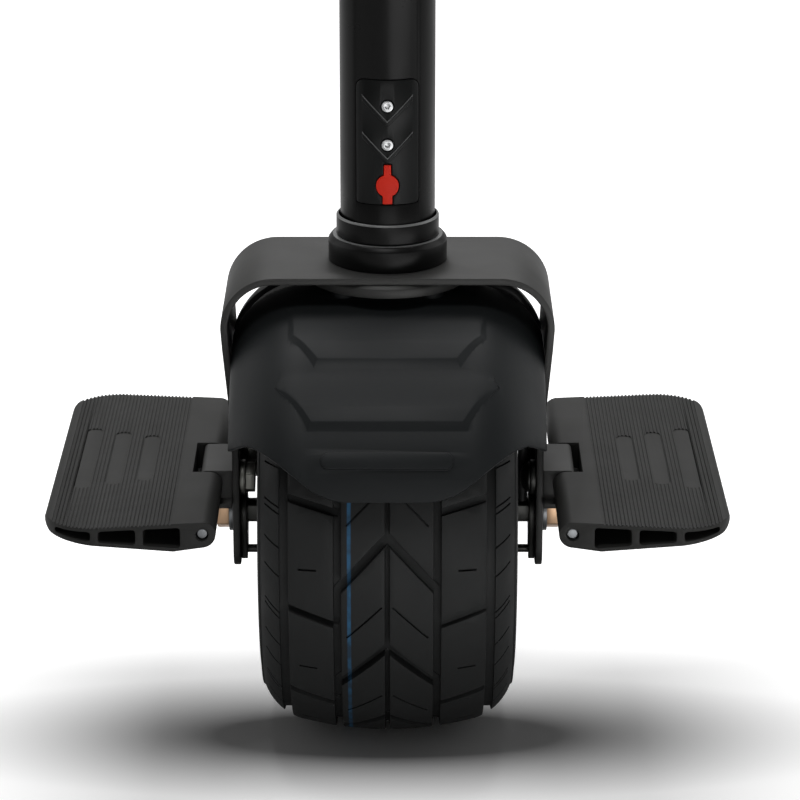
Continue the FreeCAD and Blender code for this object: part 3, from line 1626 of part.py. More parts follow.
def make_cable():
    body = new_body("motor_cable")
    radius = size("cable_radius")
    x = cable_x
    start = axle_height + size("axle_shaft_radius") - size("cable_exit_depth")
    run = flange_bottom - size("cable_top_clearance") - radius
    bend, rise = size("cable_bend_radius"), size("cable_stem_bend")
    inner = size("cable_stem_offset")
    spine = draw(body, "XZ_Plane", [
        (x, start),
        (x, run - bend, bend),
        (x - bend, run),
        (inner + rise, run, -rise),
        (inner, run + rise),
        (inner, stem_bottom + size("cable_stem_reach")),
    ], closed=False)
    profile = draw(body, "XY_Plane", ("circle", x, 0, radius), lift=start)
    pipe = body.newObject("PartDesign::AdditivePipe", "cable_pipe")
    pipe.Profile = profile
    pipe.Spine = spine
    node(body, "motor_cable")

    half, wall = size("clip_half"), size("clip_wall")
    width, bore = size("clip_width"), radius + seat
    clip_height = axle_height + size("clip_rise")
    low_x = x - radius - wall
    leg_clip = cut(block(low_x, -half, clip_height - width / 2, leg_inner - low_x, 2 * half, width),
                   rod(bore, width + 2 * BEYOND, "z", x, 0, clip_height - width / 2 - BEYOND))
    clip_x = size("flange_radius") + size("clip_flange_gap") + width / 2
    low_z = run - radius - wall
    top_clip = cut(block(clip_x - width / 2, -half, low_z, width, 2 * half, arch_underside - low_z),
                   rod(bore, width + 2 * BEYOND, "x", clip_x - width / 2 - BEYOND, 0, run))
    node(leg_clip, "leg_cable_clip")
    node(top_clip, "arch_cable_clip")


def make_handlebar():
    axis = bar_axis_height
    cup_length, bevel = size("head_cup_length"), size("head_bevel")
    cup_bottom = stem_top - cup_length
    head, clamp = size("head_radius"), size("bar_clamp_radius")
    roof = stem_top + size("head_roof")
    cup_bore = stem_radius + seat
    cup = turned_on_stem("head_cup", [
        (cup_bore, cup_bottom),
        (head - edge_break, cup_bottom),
        (head, cup_bottom + edge_break),
        (head, roof - bevel),
        (head - bevel, roof),
        (0, roof),
        (0, stem_top + seat),
        (cup_bore, stem_top + seat),
    ])
    length = size("bar_clamp_length")
    tool_x, tool_length = -length / 2 - BEYOND, length + 2 * BEYOND
    tall = 2 * clamp + BEYOND
    bore = size("bar_radius") + seat
    barrel = rod(clamp, length, "x", -length / 2, 0, axis)
    boss_start = stem_radius / 2
    boss = rod(size("switch_boss_radius"), head + size("switch_boss_height") - boss_start, "y", 0, boss_start,
               switch_height)
    core = rod(cup_bore, cup_length + BEYOND, "z", 0, 0, cup_bottom + seat - BEYOND)
    bar_bore = rod(bore, tool_length, "x", tool_x, 0, axis)
    front = block(tool_x, -tall, roof + loose, tool_length, tall, tall)
    switch_bore = rod(size("switch_body_radius") + seat, head, "y", 0, boss_start - BEYOND, switch_height)
    bolts, head_holes, face_holes = face_plate_bolts(axis, clamp)
    node(cut(fuse(cup, barrel, boss), core, bar_bore, front, switch_bore, *head_holes), "bar_head")
    face_blank = rod(clamp, length, "x", -length / 2, 0, axis)
    back = block(tool_x, -size("bar_clamp_slit"), axis - tall, tool_length, tall, 2 * tall)
    below = block(tool_x, -tall, roof + loose - tall, tool_length, tall, tall)
    face_bore = rod(bore, tool_length, "x", tool_x, 0, axis)
    node(cut(face_blank, back, below, face_bore, *face_holes), "bar_face_plate")
    node(group(*bolts), "face_plate_bolts")

    bar_length, bar_inner = size("bar_length"), size("bar_radius") - size("bar_wall")
    bar = cut(rod(size("bar_radius"), bar_length, "x", -bar_length / 2, 0, axis),
              rod(bar_inner, bar_length + 2 * BEYOND, "x", -bar_length / 2 - BEYOND, 0, axis))
    node(bar, "handlebar")
    make_grips(axis, bar_length / 2)
    make_switch()


def face_plate_bolts(axis, clamp):
    """The clamp's bolts, the holes that they screw into and the stepped holes that they pass."""
    bolts, thread_holes, stepped_holes = [], [], []
    radius, reach, head = size("face_bolt_radius"), size("face_bolt_reach"), size("face_bolt_head_radius")
    start = -size("face_bolt_seat")
    head_start = start - size("face_bolt_head_height")
    key_depth = size("face_bolt_key_depth")
    for x in (size("face_bolt_x"), -size("face_bolt_x")):
        for z in (axis + size("face_bolt_rise"), axis - size("face_bolt_rise")):
            thread_holes.append(rod(radius + seat, reach + BEYOND, "y", x, -BEYOND, z))
            stepped_holes.append(rod(radius + loose, clamp + BEYOND, "y", x, -clamp, z))
            stepped_holes.append(rod(head + loose, clamp, "y", x, start - clamp, z))
            shank = rod(radius, reach - start, "y", x, start, z)
            cap = rod(head, size("face_bolt_head_height"), "y", x, head_start, z)
            key = hexagon(size("face_bolt_key"), key_depth + BEYOND, "y", x, head_start - BEYOND, z)
            bolts.append(cut(fuse(shank, cap), key))
    return bolts, thread_holes, stepped_holes


def make_grips(axis, bar_end):
    """Closed rubber sleeves with a stop flange inboard and shallow ring grooves."""
    outer, inner = size("grip_radius"), size("bar_radius") + seat
    end = bar_end + size("grip_end_wall")
    start = end - size("grip_length")
    flange = size("grip_flange_radius")
    flange_end = start + size("grip_flange_length")
    bevel = size("grip_end_bevel")
    body = new_body("grip")
    bind_place(body, z=axis)
    outline = [
        (start, inner),
        (start, flange - edge_break),
        (start + edge_break, flange),
        (flange_end - edge_break, flange),
        (flange_end, flange - edge_break),
        (flange_end, outer),
        (end - bevel, outer),
        (end, outer - bevel),
        (end, 0),
        (bar_end + seat, 0),
        (bar_end + seat, inner),
    ]
    revolve(body, draw(body, "XZ_Plane", outline), "H_Axis")
    depth = size("grip_rib_depth")
    first = flange_end + size("grip_rib_start")
    last = first + size("grip_rib_width")
    groove = [
        (first, outer - depth),
        (last, outer - depth),
        (last + depth, outer + depth),
        (first - depth, outer + depth),
    ]
    ring = revolve(body, draw(body, "XZ_Plane", groove), "H_Axis", groove=True)
    pattern = body.newObject("PartDesign::LinearPattern", "grip_ribs")
    pattern.Originals = [ring]
    pattern.Direction = (origin_part(body, "X_Axis"), [""])
    bind(pattern, "Length", end - size("grip_rib_end") - first)
    bind(pattern, "Occurrences", size("grip_rib_count"))
    body.Tip = pattern
    node(body, "right_grip")
    node(mirror(body, LEFT_RIGHT), "left_grip")


def make_switch():
    height = switch_height
    boss_face = size("head_radius") + size("switch_boss_height")
    bezel = size("switch_bezel_height")
    length = size("switch_body_length")
    housing = fuse(rod(size("switch_body_radius"), length, "y", 0, boss_face - length, height),
                   rod(size("switch_bezel_radius"), bezel, "y", 0, boss_face, height))
    front = boss_face + bezel
    button_length, proud = size("button_length"), size("button_proud")
    back = front + proud - button_length
    room = size("button_room")
    travel_room = rod(size("button_radius") + loose, button_length + room + BEYOND, "y", 0, back - room, height)
    node(cut(housing, travel_room), "power_switch")
    node(rod(size("button_radius"), button_length, "y", 0, back, height), "power_button")


make_tyre()
make_hub()
make_arch()
make_torque_plates()
make_fenders()
make_stem()
make_stem_tube()
make_service_cover()
make_battery()
make_pedals()
make_brackets()
make_cable()
make_handlebar()
doc.recompute()

for thing in doc.Objects:
    if "Invalid" in thing.State or "Error" in thing.State:
        raise RuntimeError(f"{thing.Label} ({thing.Name}) failed: {thing.State}")
for thing in nodes:
    if thing.Shape.isNull() or not thing.Shape.isValid() or not thing.Shape.Solids:
        raise RuntimeError(f"{thing.Label} has no valid solid")
os.makedirs("parts", exist_ok=True)
for thing in nodes:
    thing.Shape.exportStep(f"parts/{thing.Label}.step")
print(len(nodes), "sub-parts written")
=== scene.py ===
import json
import math

import bpy
from mathutils import Matrix, Vector

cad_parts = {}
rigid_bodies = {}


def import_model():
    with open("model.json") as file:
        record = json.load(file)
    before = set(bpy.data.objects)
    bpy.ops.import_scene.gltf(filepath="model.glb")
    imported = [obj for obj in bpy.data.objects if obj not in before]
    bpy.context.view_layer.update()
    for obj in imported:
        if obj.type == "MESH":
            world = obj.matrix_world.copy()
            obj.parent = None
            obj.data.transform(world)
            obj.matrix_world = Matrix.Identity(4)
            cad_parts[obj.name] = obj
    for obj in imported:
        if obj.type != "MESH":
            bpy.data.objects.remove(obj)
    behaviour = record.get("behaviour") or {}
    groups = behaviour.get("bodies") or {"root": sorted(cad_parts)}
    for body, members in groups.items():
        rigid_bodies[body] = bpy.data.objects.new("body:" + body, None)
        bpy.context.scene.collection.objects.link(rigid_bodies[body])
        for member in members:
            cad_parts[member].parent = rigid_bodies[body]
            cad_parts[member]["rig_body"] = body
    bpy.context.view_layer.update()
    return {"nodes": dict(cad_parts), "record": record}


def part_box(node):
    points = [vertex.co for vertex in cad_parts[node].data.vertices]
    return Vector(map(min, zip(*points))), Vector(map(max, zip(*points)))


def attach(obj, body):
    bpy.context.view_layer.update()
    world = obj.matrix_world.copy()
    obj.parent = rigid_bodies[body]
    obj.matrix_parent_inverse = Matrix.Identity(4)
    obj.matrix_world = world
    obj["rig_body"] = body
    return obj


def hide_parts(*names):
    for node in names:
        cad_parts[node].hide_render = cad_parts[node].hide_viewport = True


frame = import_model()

# Electric unicycle: a wide motor wheel in a bent plate arch, foot pedals beside it and a battery stem above.
# Lengths in the tables below are in millimetres; the meshes, the camera and the studio are in metres.
MM = 0.001
AXLE_HEIGHT = 0.127
slot_of = {part["node"]: part["material_slot"] for part in frame["record"]["subparts"]}

# Camera at the photograph's view: looking down from the front by this many degrees, no shift
CAMERA_TILT = 19.0
CAMERA_PLACE = (0.00697, -1.87529, 0.84003)
FOCAL_LENGTH = 155.25
SENSOR_WIDTH = 36.0


def place_camera():
    lens = bpy.data.cameras.new("photo_view")
    lens.sensor_width = SENSOR_WIDTH
    lens.lens = FOCAL_LENGTH
    camera = bpy.data.objects.new("photo_view", lens)
    camera.location = CAMERA_PLACE
    camera.rotation_euler = (math.radians(90.0 - CAMERA_TILT), 0.0, 0.0)
    bpy.context.scene.collection.objects.link(camera)
    bpy.context.scene.camera = camera


# Materials
WHITE = (1.0, 1.0, 1.0, 1.0)
# Colour sockets of a mix node, by number because their names repeat
MIX_FIRST = 6
MIX_SECOND = 7
MIX_RESULT = 2
# Most of a noise pattern lies between these values
NOISE_LOW = 0.3
NOISE_HIGH = 0.7
# Blue paint line of the tread: distance left of the middle, width, blur of its edges and size of worn patches
STRIPE_OFFSET = 21.0
STRIPE_WIDTH = 2.0
STRIPE_BLUR = 0.4
STRIPE_PATCH = 9.0


def linear(hex_colour):
    """A written sRGB colour as the linear values that a shader takes."""
    values = [int(hex_colour[start:start + 2], 16) / 255 for start in (1, 3, 5)]
    return [v / 12.92 if v <= 0.04045 else ((v + 0.055) / 1.055) ** 2.4 for v in values] + [1.0]


def add(tree, kind, inputs=None, **settings):
    """One shader node with its settings, and with the values or links of its inputs."""
    node = tree.nodes.new(kind)
    for name, value in settings.items():
        setattr(node, name, value)
    for name, value in (inputs or {}).items():
        if isinstance(value, bpy.types.NodeSocket):
            tree.links.new(value, node.inputs[name])
        else:
            node.inputs[name].default_value = value
    return node


def new_finish(name, colour, roughness, specular=0.5):
    """A material of one colour, with its node tree and its shader."""
    finish = bpy.data.materials.new(name)
    finish.use_nodes = True
    shader = finish.node_tree.nodes["Principled BSDF"]
    shader.inputs["Base Color"].default_value = linear(colour)
    shader.inputs["Roughness"].default_value = roughness
    shader.inputs["Specular IOR Level"].default_value = specular
    return finish, finish.node_tree, shader


def coated(name, colour, dusty, roughness, grain, relief, patch=45.0, specular=0.5):
    """A moulded or sprayed skin: a grain that breaks the gloss, and broad patches, paler and duller."""
    finish, tree, shader = new_finish(name, colour, roughness, specular)
    place = add(tree, "ShaderNodeTexCoord").outputs["Object"]
    broad = add(tree, "ShaderNodeTexNoise", {"Vector": place, "Scale": 1 / (patch * MM), "Detail": 4.0})
    fine = add(tree, "ShaderNodeTexNoise", {"Vector": place, "Scale": 1 / (grain * MM), "Detail": 2.0})
    tint = add(tree, "ShaderNodeMix", {
        "Factor": broad.outputs["Fac"], MIX_FIRST: linear(colour), MIX_SECOND: linear(dusty)},
        data_type="RGBA")
    gloss = add(tree, "ShaderNodeMapRange", {
        "Value": broad.outputs["Fac"], "From Min": NOISE_LOW, "From Max": NOISE_HIGH,
        "To Min": roughness - 0.05, "To Max": roughness + 0.06})
    bump = add(tree, "ShaderNodeBump", {
        "Height": fine.outputs["Fac"], "Strength": 0.6, "Distance": relief * MM})
    tree.links.new(tint.outputs[MIX_RESULT], shader.inputs["Base Color"])
    tree.links.new(gloss.outputs["Result"], shader.inputs["Roughness"])
    tree.links.new(bump.outputs["Normal"], shader.inputs["Normal"])
    return finish


def bare_metal(name, colour, worn, roughness, streak):
    """A plated or machined metal: fine streaks along the turning marks."""
    finish, tree, shader = new_finish(name, colour, roughness)
    shader.inputs["Metallic"].default_value = 1.0
    place = add(tree, "ShaderNodeTexCoord").outputs["Object"]
    stretched = add(tree, "ShaderNodeMapping", {"Vector": place, "Scale": (1.0, 0.25, 0.25)})
    streaks = add(tree, "ShaderNodeTexNoise", {
        "Vector": stretched.outputs["Vector"], "Scale": 1 / (streak * MM), "Detail": 3.0})
    tint = add(tree, "ShaderNodeMix", {
        "Factor": streaks.outputs["Fac"], MIX_FIRST: linear(colour), MIX_SECOND: linear(worn)},
        data_type="RGBA")
    gloss = add(tree, "ShaderNodeMapRange", {
        "Value": streaks.outputs["Fac"], "To Min": roughness - 0.08, "To Max": roughness + 0.12})
    bump = add(tree, "ShaderNodeBump", {
        "Height": streaks.outputs["Fac"], "Strength": 0.7, "Distance": 0.02 * MM})
    tree.links.new(tint.outputs[MIX_RESULT], shader.inputs["Base Color"])
    tree.links.new(gloss.outputs["Result"], shader.inputs["Roughness"])
    tree.links.new(bump.outputs["Normal"], shader.inputs["Normal"])
    return finish


def tread_rubber():
    """Carbon black tyre rubber, moulded: soft grey sheen, a worn blue line round the tread."""
    finish, tree, shader = new_finish("moulded_tyre_rubber", "#1c1d1d", 0.62, specular=0.25)
    place = add(tree, "ShaderNodeTexCoord").outputs["Object"]
    parts = add(tree, "ShaderNodeSeparateXYZ", {"Vector": place})
    bloom = add(tree, "ShaderNodeTexNoise", {"Vector": place, "Scale": 1 / (30 * MM), "Detail": 5.0})
    base = add(tree, "ShaderNodeMix", {
        "Factor": bloom.outputs["Fac"], MIX_FIRST: linear("#161717"), MIX_SECOND: linear("#232424")},
        data_type="RGBA")
    # Paint line with soft edges, rubbed thin in patches
    across = add(tree, "ShaderNodeMath", {0: parts.outputs["X"], 1: 1 / MM}, operation="MULTIPLY")
    beside = add(tree, "ShaderNodeMath", {0: across.outputs[0], 1: STRIPE_OFFSET}, operation="ADD")
    off_line = add(tree, "ShaderNodeMath", {0: beside.outputs[0]}, operation="ABSOLUTE")
    line = add(tree, "ShaderNodeMapRange", {
        "Value": off_line.outputs[0], "From Min": (STRIPE_WIDTH - STRIPE_BLUR) / 2,
        "From Max": (STRIPE_WIDTH + STRIPE_BLUR) / 2, "To Min": 1.0, "To Max": 0.0})
    spots = add(tree, "ShaderNodeTexNoise", {
        "Vector": place, "Scale": 1 / (STRIPE_PATCH * MM), "Detail": 3.0})
    kept = add(tree, "ShaderNodeMapRange", {
        "Value": spots.outputs["Fac"], "From Min": 0.35, "From Max": 0.6, "To Min": 0.3, "To Max": 1.0})
    paint = add(tree, "ShaderNodeMath", {0: line.outputs["Result"], 1: kept.outputs["Result"]},
                operation="MULTIPLY")
    striped = add(tree, "ShaderNodeMix", {
        "Factor": paint.outputs[0], MIX_FIRST: base.outputs[MIX_RESULT], MIX_SECOND: linear("#2a587a")},
        data_type="RGBA")
    # Moulded skin: mould grain of about half a millimetre, drawn at 1.2 mm so that it shows
    grain = add(tree, "ShaderNodeTexNoise", {"Vector": place, "Scale": 1 / (1.2 * MM), "Detail": 2.0})
    bump = add(tree, "ShaderNodeBump", {
        "Height": grain.outputs["Fac"], "Strength": 0.6, "Distance": 0.1 * MM})
    gloss = add(tree, "ShaderNodeMapRange", {
        "Value": bloom.outputs["Fac"], "From Min": NOISE_LOW, "From Max": NOISE_HIGH,
        "To Min": 0.52, "To Max": 0.7})
    tree.links.new(striped.outputs[MIX_RESULT], shader.inputs["Base Color"])
    tree.links.new(gloss.outputs["Result"], shader.inputs["Roughness"])
    tree.links.new(bump.outputs["Normal"], shader.inputs["Normal"])
    return finish


def make_finishes():
    """Every finish of the machine: the record's slots by name, and beside them two more, a worn bolt steel
    and a pale grey for painted highlights on edges.
    """
    return {
        "tyre_rubber": tread_rubber(),
        # Sprayed satin black on cast aluminium: soft broad highlights
        "hub_paint": coated("satin_hub_paint", "#141515", "#1b1c1c", 0.42, 1.6, 0.02, specular=0.3),
        # Clear zinc plate on turned steel: cold grey, cloudy
        "steel_zinc": bare_metal("zinc_plated_steel", "#6c6e70", "#8a8c8e", 0.38, 1.0),
        # Yellow passivated zinc: gold with a pink cast in places
        "yellow_zinc": bare_metal("yellow_passivated_zinc", "#ad8c70", "#c8aa8c", 0.36, 4.0),
        # Black oxide on ground steel: near black with a dull gleam
        "axle_steel": bare_metal("black_oxide_steel", "#3a3a39", "#4c4c4a", 0.4, 1.2),
        # The same steel where a spanner has worn the black off: pale grey with dark streaks
        "worn_bolt": bare_metal("worn_black_oxide_steel", "#6e6e6b", "#96968f", 0.42, 1.6),
        # Nickel on sintered magnets: dull silver
        "magnet": bare_metal("nickel_plated_magnet", "#8f8d88", "#a5a39d", 0.35, 2.0),
        # Varnished steel sheets: brown grey, fine edges
        "lamination": bare_metal("varnished_steel_sheets", "#57514b", "#6a645d", 0.5, 0.8),
        # Enamelled copper wire: warm red brown, glossy
        "copper": bare_metal("enamelled_copper", "#a8592f", "#c26a38", 0.32, 1.0),
        # Matte powder coat on bent steel plate: fine orange peel, drawn at 1.8 mm so that it shows
        "frame_powder_coat": coated("matte_powder_coat", "#272726", "#2e2e2d", 0.48, 1.8, 0.05,
                                    specular=0.34),
        # Satin black paint on a drawn tube: deep black, long soft highlights
        "stem_paint": coated("satin_black_paint", "#0c0c0c", "#101010", 0.3, 2.2, 0.02, specular=0.12),
        # Moulded polypropylene: charcoal with a blue cast; spark grain of 0.6 mm, drawn at 1.6 mm to show
        "fender_plastic": coated("moulded_polypropylene", "#181a1b", "#1d1f20", 0.46, 1.6, 0.05,
                                 specular=0.15),
        # Matte paint on cast aluminium: dry dark grey
        "pedal_paint": coated("matte_paint_on_cast_aluminium", "#232322", "#2b2b2a", 0.55, 1.4, 0.05,
                              specular=0.2),
        # Moulded ABS: black, slightly glossy
        "cover_plastic": coated("moulded_abs", "#0e0f0f", "#131414", 0.36, 1.4, 0.02, specular=0.15),
        # Painted highlight on raised edges that face upwards: pale grey on the black finish, so that they
        # read as thin pale lines
        "painted_edge_highlight": coated("painted_highlight_grey", "#5a5b5b", "#6c6d6d", 0.34, 1.4, 0.02),
        # Red silicone rubber: matte, faintly dusty
        "red_rubber": coated("red_silicone", "#c81f0e", "#d42d18", 0.55, 1.2, 0.03, patch=6.0, specular=0.2),
        # Black rubber of the grips: matte with a little bloom
        "grip_rubber": coated("black_grip_rubber", "#202020", "#2a2a2a", 0.7, 1.0, 0.06),
        # Cable jacket of vinyl: soft black
        "cable_jacket": coated("black_vinyl_jacket", "#191919", "#222222", 0.5, 1.2, 0.03),
        # Moulded nylon of the inner holders: dry black grey
        "inner_plastic": coated("black_nylon", "#2a2a2c", "#333335", 0.55, 1.2, 0.03),
        # Solder mask of the circuit board: glossy green
        "board": coated("green_solder_mask", "#1f5c3a", "#256b45", 0.3, 2.0, 0.02),
        # Shrink sleeve of the cells: smooth blue film
        "cell_wrap": coated("blue_shrink_sleeve", "#2a5a9e", "#3468b0", 0.35, 3.0, 0.03),
        # Stainless steel of the cover screws and the switch: bright, brushed
        "button_steel": bare_metal("brushed_stainless_steel", "#a4a5a6", "#bcbdbe", 0.3, 0.8),
    }


# Broken edges: rounding steps, and the least bend of an edge that is broken
EDGE_STEPS = 2
EDGE_BEND = math.radians(32.0)
# Edge break of each visible piece in millimetres
EDGE_BREAKS = {
    "tyre": 0.5, "hub_rim": 0.8, "left_hub_cover": 0.8, "right_hub_cover": 0.8,
    "left_cover_screws": 0.3, "right_cover_screws": 0.3, "tyre_valve": 0.15, "axle": 0.25,
    "left_axle_washer": 0.3, "right_axle_washer": 0.3, "left_axle_nut": 0.5, "right_axle_nut": 0.5,
    "arch_frame": 0.7, "left_torque_plate": 0.4, "right_torque_plate": 0.4,
    "left_torque_pin": 0.4, "right_torque_pin": 0.4, "front_fender": 0.5, "rear_fender": 0.5,
    "under_flange": 0.6, "stem_socket": 0.5, "stem_lock_ring": 0.3, "stem_tube": 0.4,
    "service_cover": 0.35, "cover_screws": 0.25, "charge_plug": 0.4,
    "left_pedal": 0.3, "right_pedal": 0.3, "left_hinge_pin": 0.3, "right_hinge_pin": 0.3,
    "left_hinge_bracket": 0.6, "right_hinge_bracket": 0.6,
    "left_bracket_bolts": 0.5, "right_bracket_bolts": 0.5,
    "motor_cable": 0.2, "leg_cable_clip": 0.3, "arch_cable_clip": 0.3,
    "bar_head": 0.5, "bar_face_plate": 0.5, "face_plate_bolts": 0.3, "handlebar": 0.3,
    "left_grip": 0.4, "right_grip": 0.4, "power_switch": 0.3, "power_button": 0.4,
}
# Greatest bend in degrees between neighbouring faces that are joined to one before the edges are broken
FLAT_ANGLE = 0.3
FLAT_ANGLES = {
    "stem_tube": 2.0, "service_cover": 2.0, "bar_face_plate": 2.0, "axle": 2.0,
    "front_fender": 1.0, "rear_fender": 1.0,
}
# Length in millimetres under which two corners become one; the fenders have slivers at their steps
MERGE_LENGTH = 0.005
MERGE_LENGTHS = {"front_fender": 0.05, "rear_fender": 0.05}
# Pieces with a flat ring round a hole, which is cut into triangles so that nothing spans the hole
RING_PIECES = ("tyre", "axle", "stem_lock_ring")


def select_only(pieces):
    bpy.ops.object.select_all(action="DESELECT")
    for piece in pieces:
        piece.select_set(True)
    bpy.context.view_layer.objects.active = pieces[0]


def dress(piece, node, finish):
    """Finish, body and slot of a piece, as those of the CAD piece that it belongs to."""
    piece.data.materials.clear()
    piece.data.materials.append(finish)
    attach(piece, frame["nodes"][node]["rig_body"])


def softened(node, width, finish):
    """A merged copy of a CAD piece with its hard edges broken, on the same body and in its place."""
    piece = bpy.data.objects.new(node + "_finished", frame["nodes"][node].data.copy())
    bpy.context.scene.collection.objects.link(piece)
    select_only([piece])
    bpy.ops.mesh.customdata_custom_splitnormals_clear()
    bpy.ops.object.mode_set(mode="EDIT")
    bpy.ops.mesh.select_all(action="SELECT")
    bpy.ops.mesh.remove_doubles(threshold=MERGE_LENGTHS.get(node, MERGE_LENGTH) * MM)
    bpy.ops.mesh.dissolve_limited(angle_limit=math.radians(FLAT_ANGLES.get(node, FLAT_ANGLE)))
    if node in RING_PIECES:
        bpy.ops.mesh.select_all(action="SELECT")
        bpy.ops.mesh.quads_convert_to_tris(quad_method="BEAUTY", ngon_method="BEAUTY")
    bpy.ops.object.mode_set(mode="OBJECT")
    edge = piece.modifiers.new("broken_edge", "BEVEL")
    edge.width = width * MM
    edge.segments = EDGE_STEPS
    edge.limit_method = "ANGLE"
    edge.angle_limit = EDGE_BEND
    edge.use_clamp_overlap = False
    bpy.ops.object.modifier_apply(modifier=edge.name)
    if node == "tyre":
        cut_slits(piece)
    bpy.ops.object.shade_smooth_by_angle(angle=EDGE_BEND)
    dress(piece, node, finish)
    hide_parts(node)
    return piece


# Tread slits within one pitch: place along the tread and across it, slope outwards, half span across, width
TREAD_SLITS = [
    (16.388, 12.8, -1.04, 9.7, 1.2),
    (47.0, 44.0, 0.0, 5.0, 1.2),
    (16.0, 64.0, 0.8, 4.0, 1.0),
    (20.0, 64.0, 0.8, 4.0, 1.0),
    (44.0, 64.0, 0.8, 4.0, 1.0),
    (62.0, 64.0, 0.8, 4.0, 1.0),
]
TREAD_PITCHES = 12
SLIT_DEPTH = 2.2
# The wheel stands on the floor, so the axle's height is the tyre's radius
TYRE_RADIUS = AXLE_HEIGHT / MM
# Turn of the tread's first pitch from the front
CHEVRON_ANGLE = math.radians(-16.2)
# Distance in metres from which a line is sent at the tyre to find its surface
PROBE_DISTANCE = 0.2


def cut_slits(tyre):
    """Slits in the tread blocks, each cut square to the rubber's surface."""
    cutters = []
    for side in (-1, 1):
        for along, across, slope, half, width in TREAD_SLITS:
            for pitch in range(TREAD_PITCHES):
                turn = CHEVRON_ANGLE + along / TYRE_RADIUS + 2 * math.pi * pitch / TREAD_PITCHES
                inwards = Vector((0.0, math.cos(turn), -math.sin(turn)))
                round_wheel = Vector((0.0, math.sin(turn), math.cos(turn)))
                outside = Vector((side * across * MM, 0.0, AXLE_HEIGHT)) - PROBE_DISTANCE * inwards
                spot, square = tyre.ray_cast(outside, inwards)[1:3]
                sideways = square.cross(round_wheel)
                outwards = sideways / abs(sideways.x) * math.copysign(1.0, sideways.x * side)
                reach = outwards + slope * round_wheel
                lengthways = reach.normalized()
                turned = Matrix((lengthways, square.cross(lengthways), square)).transposed().to_euler()
                bpy.ops.mesh.primitive_cube_add(
                    size=1.0, location=spot, rotation=turned,
                    scale=(2 * half * reach.length * MM, width * MM, 2 * SLIT_DEPTH * MM))
                cutters.append(bpy.context.active_object)
    select_only(cutters)
    bpy.ops.object.join()
    blades = bpy.context.active_object
    select_only([tyre])
    slits = tyre.modifiers.new("tread_slits", "BOOLEAN")
    slits.operation = "DIFFERENCE"
    slits.solver = "EXACT"
    slits.object = blades
    bpy.ops.object.modifier_apply(modifier=slits.name)
    bpy.data.objects.remove(blades)


# Raised rings of the sidewall: radius and half height in millimetres, and the share of that which is sunk
SIDEWALL_RINGS = [(82.0, 0.9), (100.0, 1.1)]
RING_SUNK = 1 / 3
RING_STEPS = 160
RING_SIDES = 10


def add_sidewall_rings(tyre, side, word, finish):
    """Moulded rings round one sidewall, sunk a little into the rubber."""
    bpy.ops.object.select_all(action="DESELECT")
    rings = []
    for radius, height in SIDEWALL_RINGS:
        outside = (side * PROBE_DISTANCE, 0.0, AXLE_HEIGHT + radius * MM)
        spot = tyre.ray_cast(outside, (-side, 0.0, 0.0))[1]
        bpy.ops.mesh.primitive_torus_add(
            major_segments=RING_STEPS, minor_segments=RING_SIDES,
            major_radius=radius * MM, minor_radius=height * MM,
            location=(spot.x - side * height * RING_SUNK * MM, 0.0, AXLE_HEIGHT),
            rotation=(0.0, math.pi / 2, 0.0))
        rings.append(bpy.context.active_object)
    select_only(rings)
    bpy.ops.object.join()
    bpy.ops.object.transform_apply(location=True, rotation=True, scale=True)
    bpy.ops.object.shade_smooth()
    piece = bpy.context.active_object
    piece.name = word + "_sidewall_rings"
    dress(piece, "tyre", finish)


# Screw thread of the axle: pitch and radius in millimetres, part of a pitch before the first ridge,
# steps in a turn
THREAD_PITCH = 1.5
THREAD_RADIUS = 6.0
THREAD_START = 0.6
THREAD_STEPS = 32


def wind_thread(side, word, finish):
    """The screw thread on one end of the axle: a ridge wound round it beyond the nut."""
    outer_corner = 1 if side > 0 else 0
    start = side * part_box(word + "_axle_nut")[outer_corner][0]
    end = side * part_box("axle")[outer_corner][0]
    bpy.ops.object.select_all(action="DESELECT")
    bpy.ops.mesh.primitive_circle_add(
        vertices=3, radius=0.5 * THREAD_PITCH * MM, rotation=(math.pi / 2, 0.0, 0.0),
        location=(side * (start + THREAD_START * THREAD_PITCH * MM), 0.0, AXLE_HEIGHT + THREAD_RADIUS * MM))
    piece = bpy.context.active_object
    piece.name = word + "_axle_thread"
    bpy.context.scene.cursor.location = (0.0, 0.0, AXLE_HEIGHT)
    bpy.ops.object.transform_apply(location=True, rotation=True, scale=True)
    bpy.ops.object.origin_set(type="ORIGIN_CURSOR")
    wound = piece.modifiers.new("thread", "SCREW")
    wound.axis = "X"
    wound.screw_offset = side * THREAD_PITCH * MM
    wound.iterations = int((end - start) / (THREAD_PITCH * MM))
    wound.steps = THREAD_STEPS
    bpy.ops.object.modifier_apply(modifier=wound.name)
    bpy.ops.object.mode_set(mode="EDIT")
    bpy.ops.mesh.select_all(action="SELECT")
    bpy.ops.mesh.fill_holes(sides=4)
    bpy.ops.mesh.select_all(action="SELECT")
    bpy.ops.mesh.normals_make_consistent(inside=False)
    bpy.ops.object.mode_set(mode="OBJECT")
    bpy.ops.object.transform_apply(location=True, rotation=True, scale=True)
    dress(piece, "axle", finish)


# Painted highlight on edges that face upwards: piece, and the least and greatest distance from the stem's
# axis in millimetres
PAINTED_HIGHLIGHT_EDGES = [("service_cover", 27.25, 40.0), ("stem_lock_ring", 0.0, 29.5), ("stem_socket", 0.0, 30.9)]
UPWARD = 0.2


def paint_edge_highlights(piece, inner, outer, finish):
    """A painted highlight as the second finish of a piece, on its faces between two distances that look
    upwards.
    """
    piece.data.materials.append(finish)
    for face in piece.data.polygons:
        distance = math.hypot(face.center.x, face.center.y)
        if inner * MM < distance < outer * MM and face.normal.z > UPWARD:
            face.material_index = 1


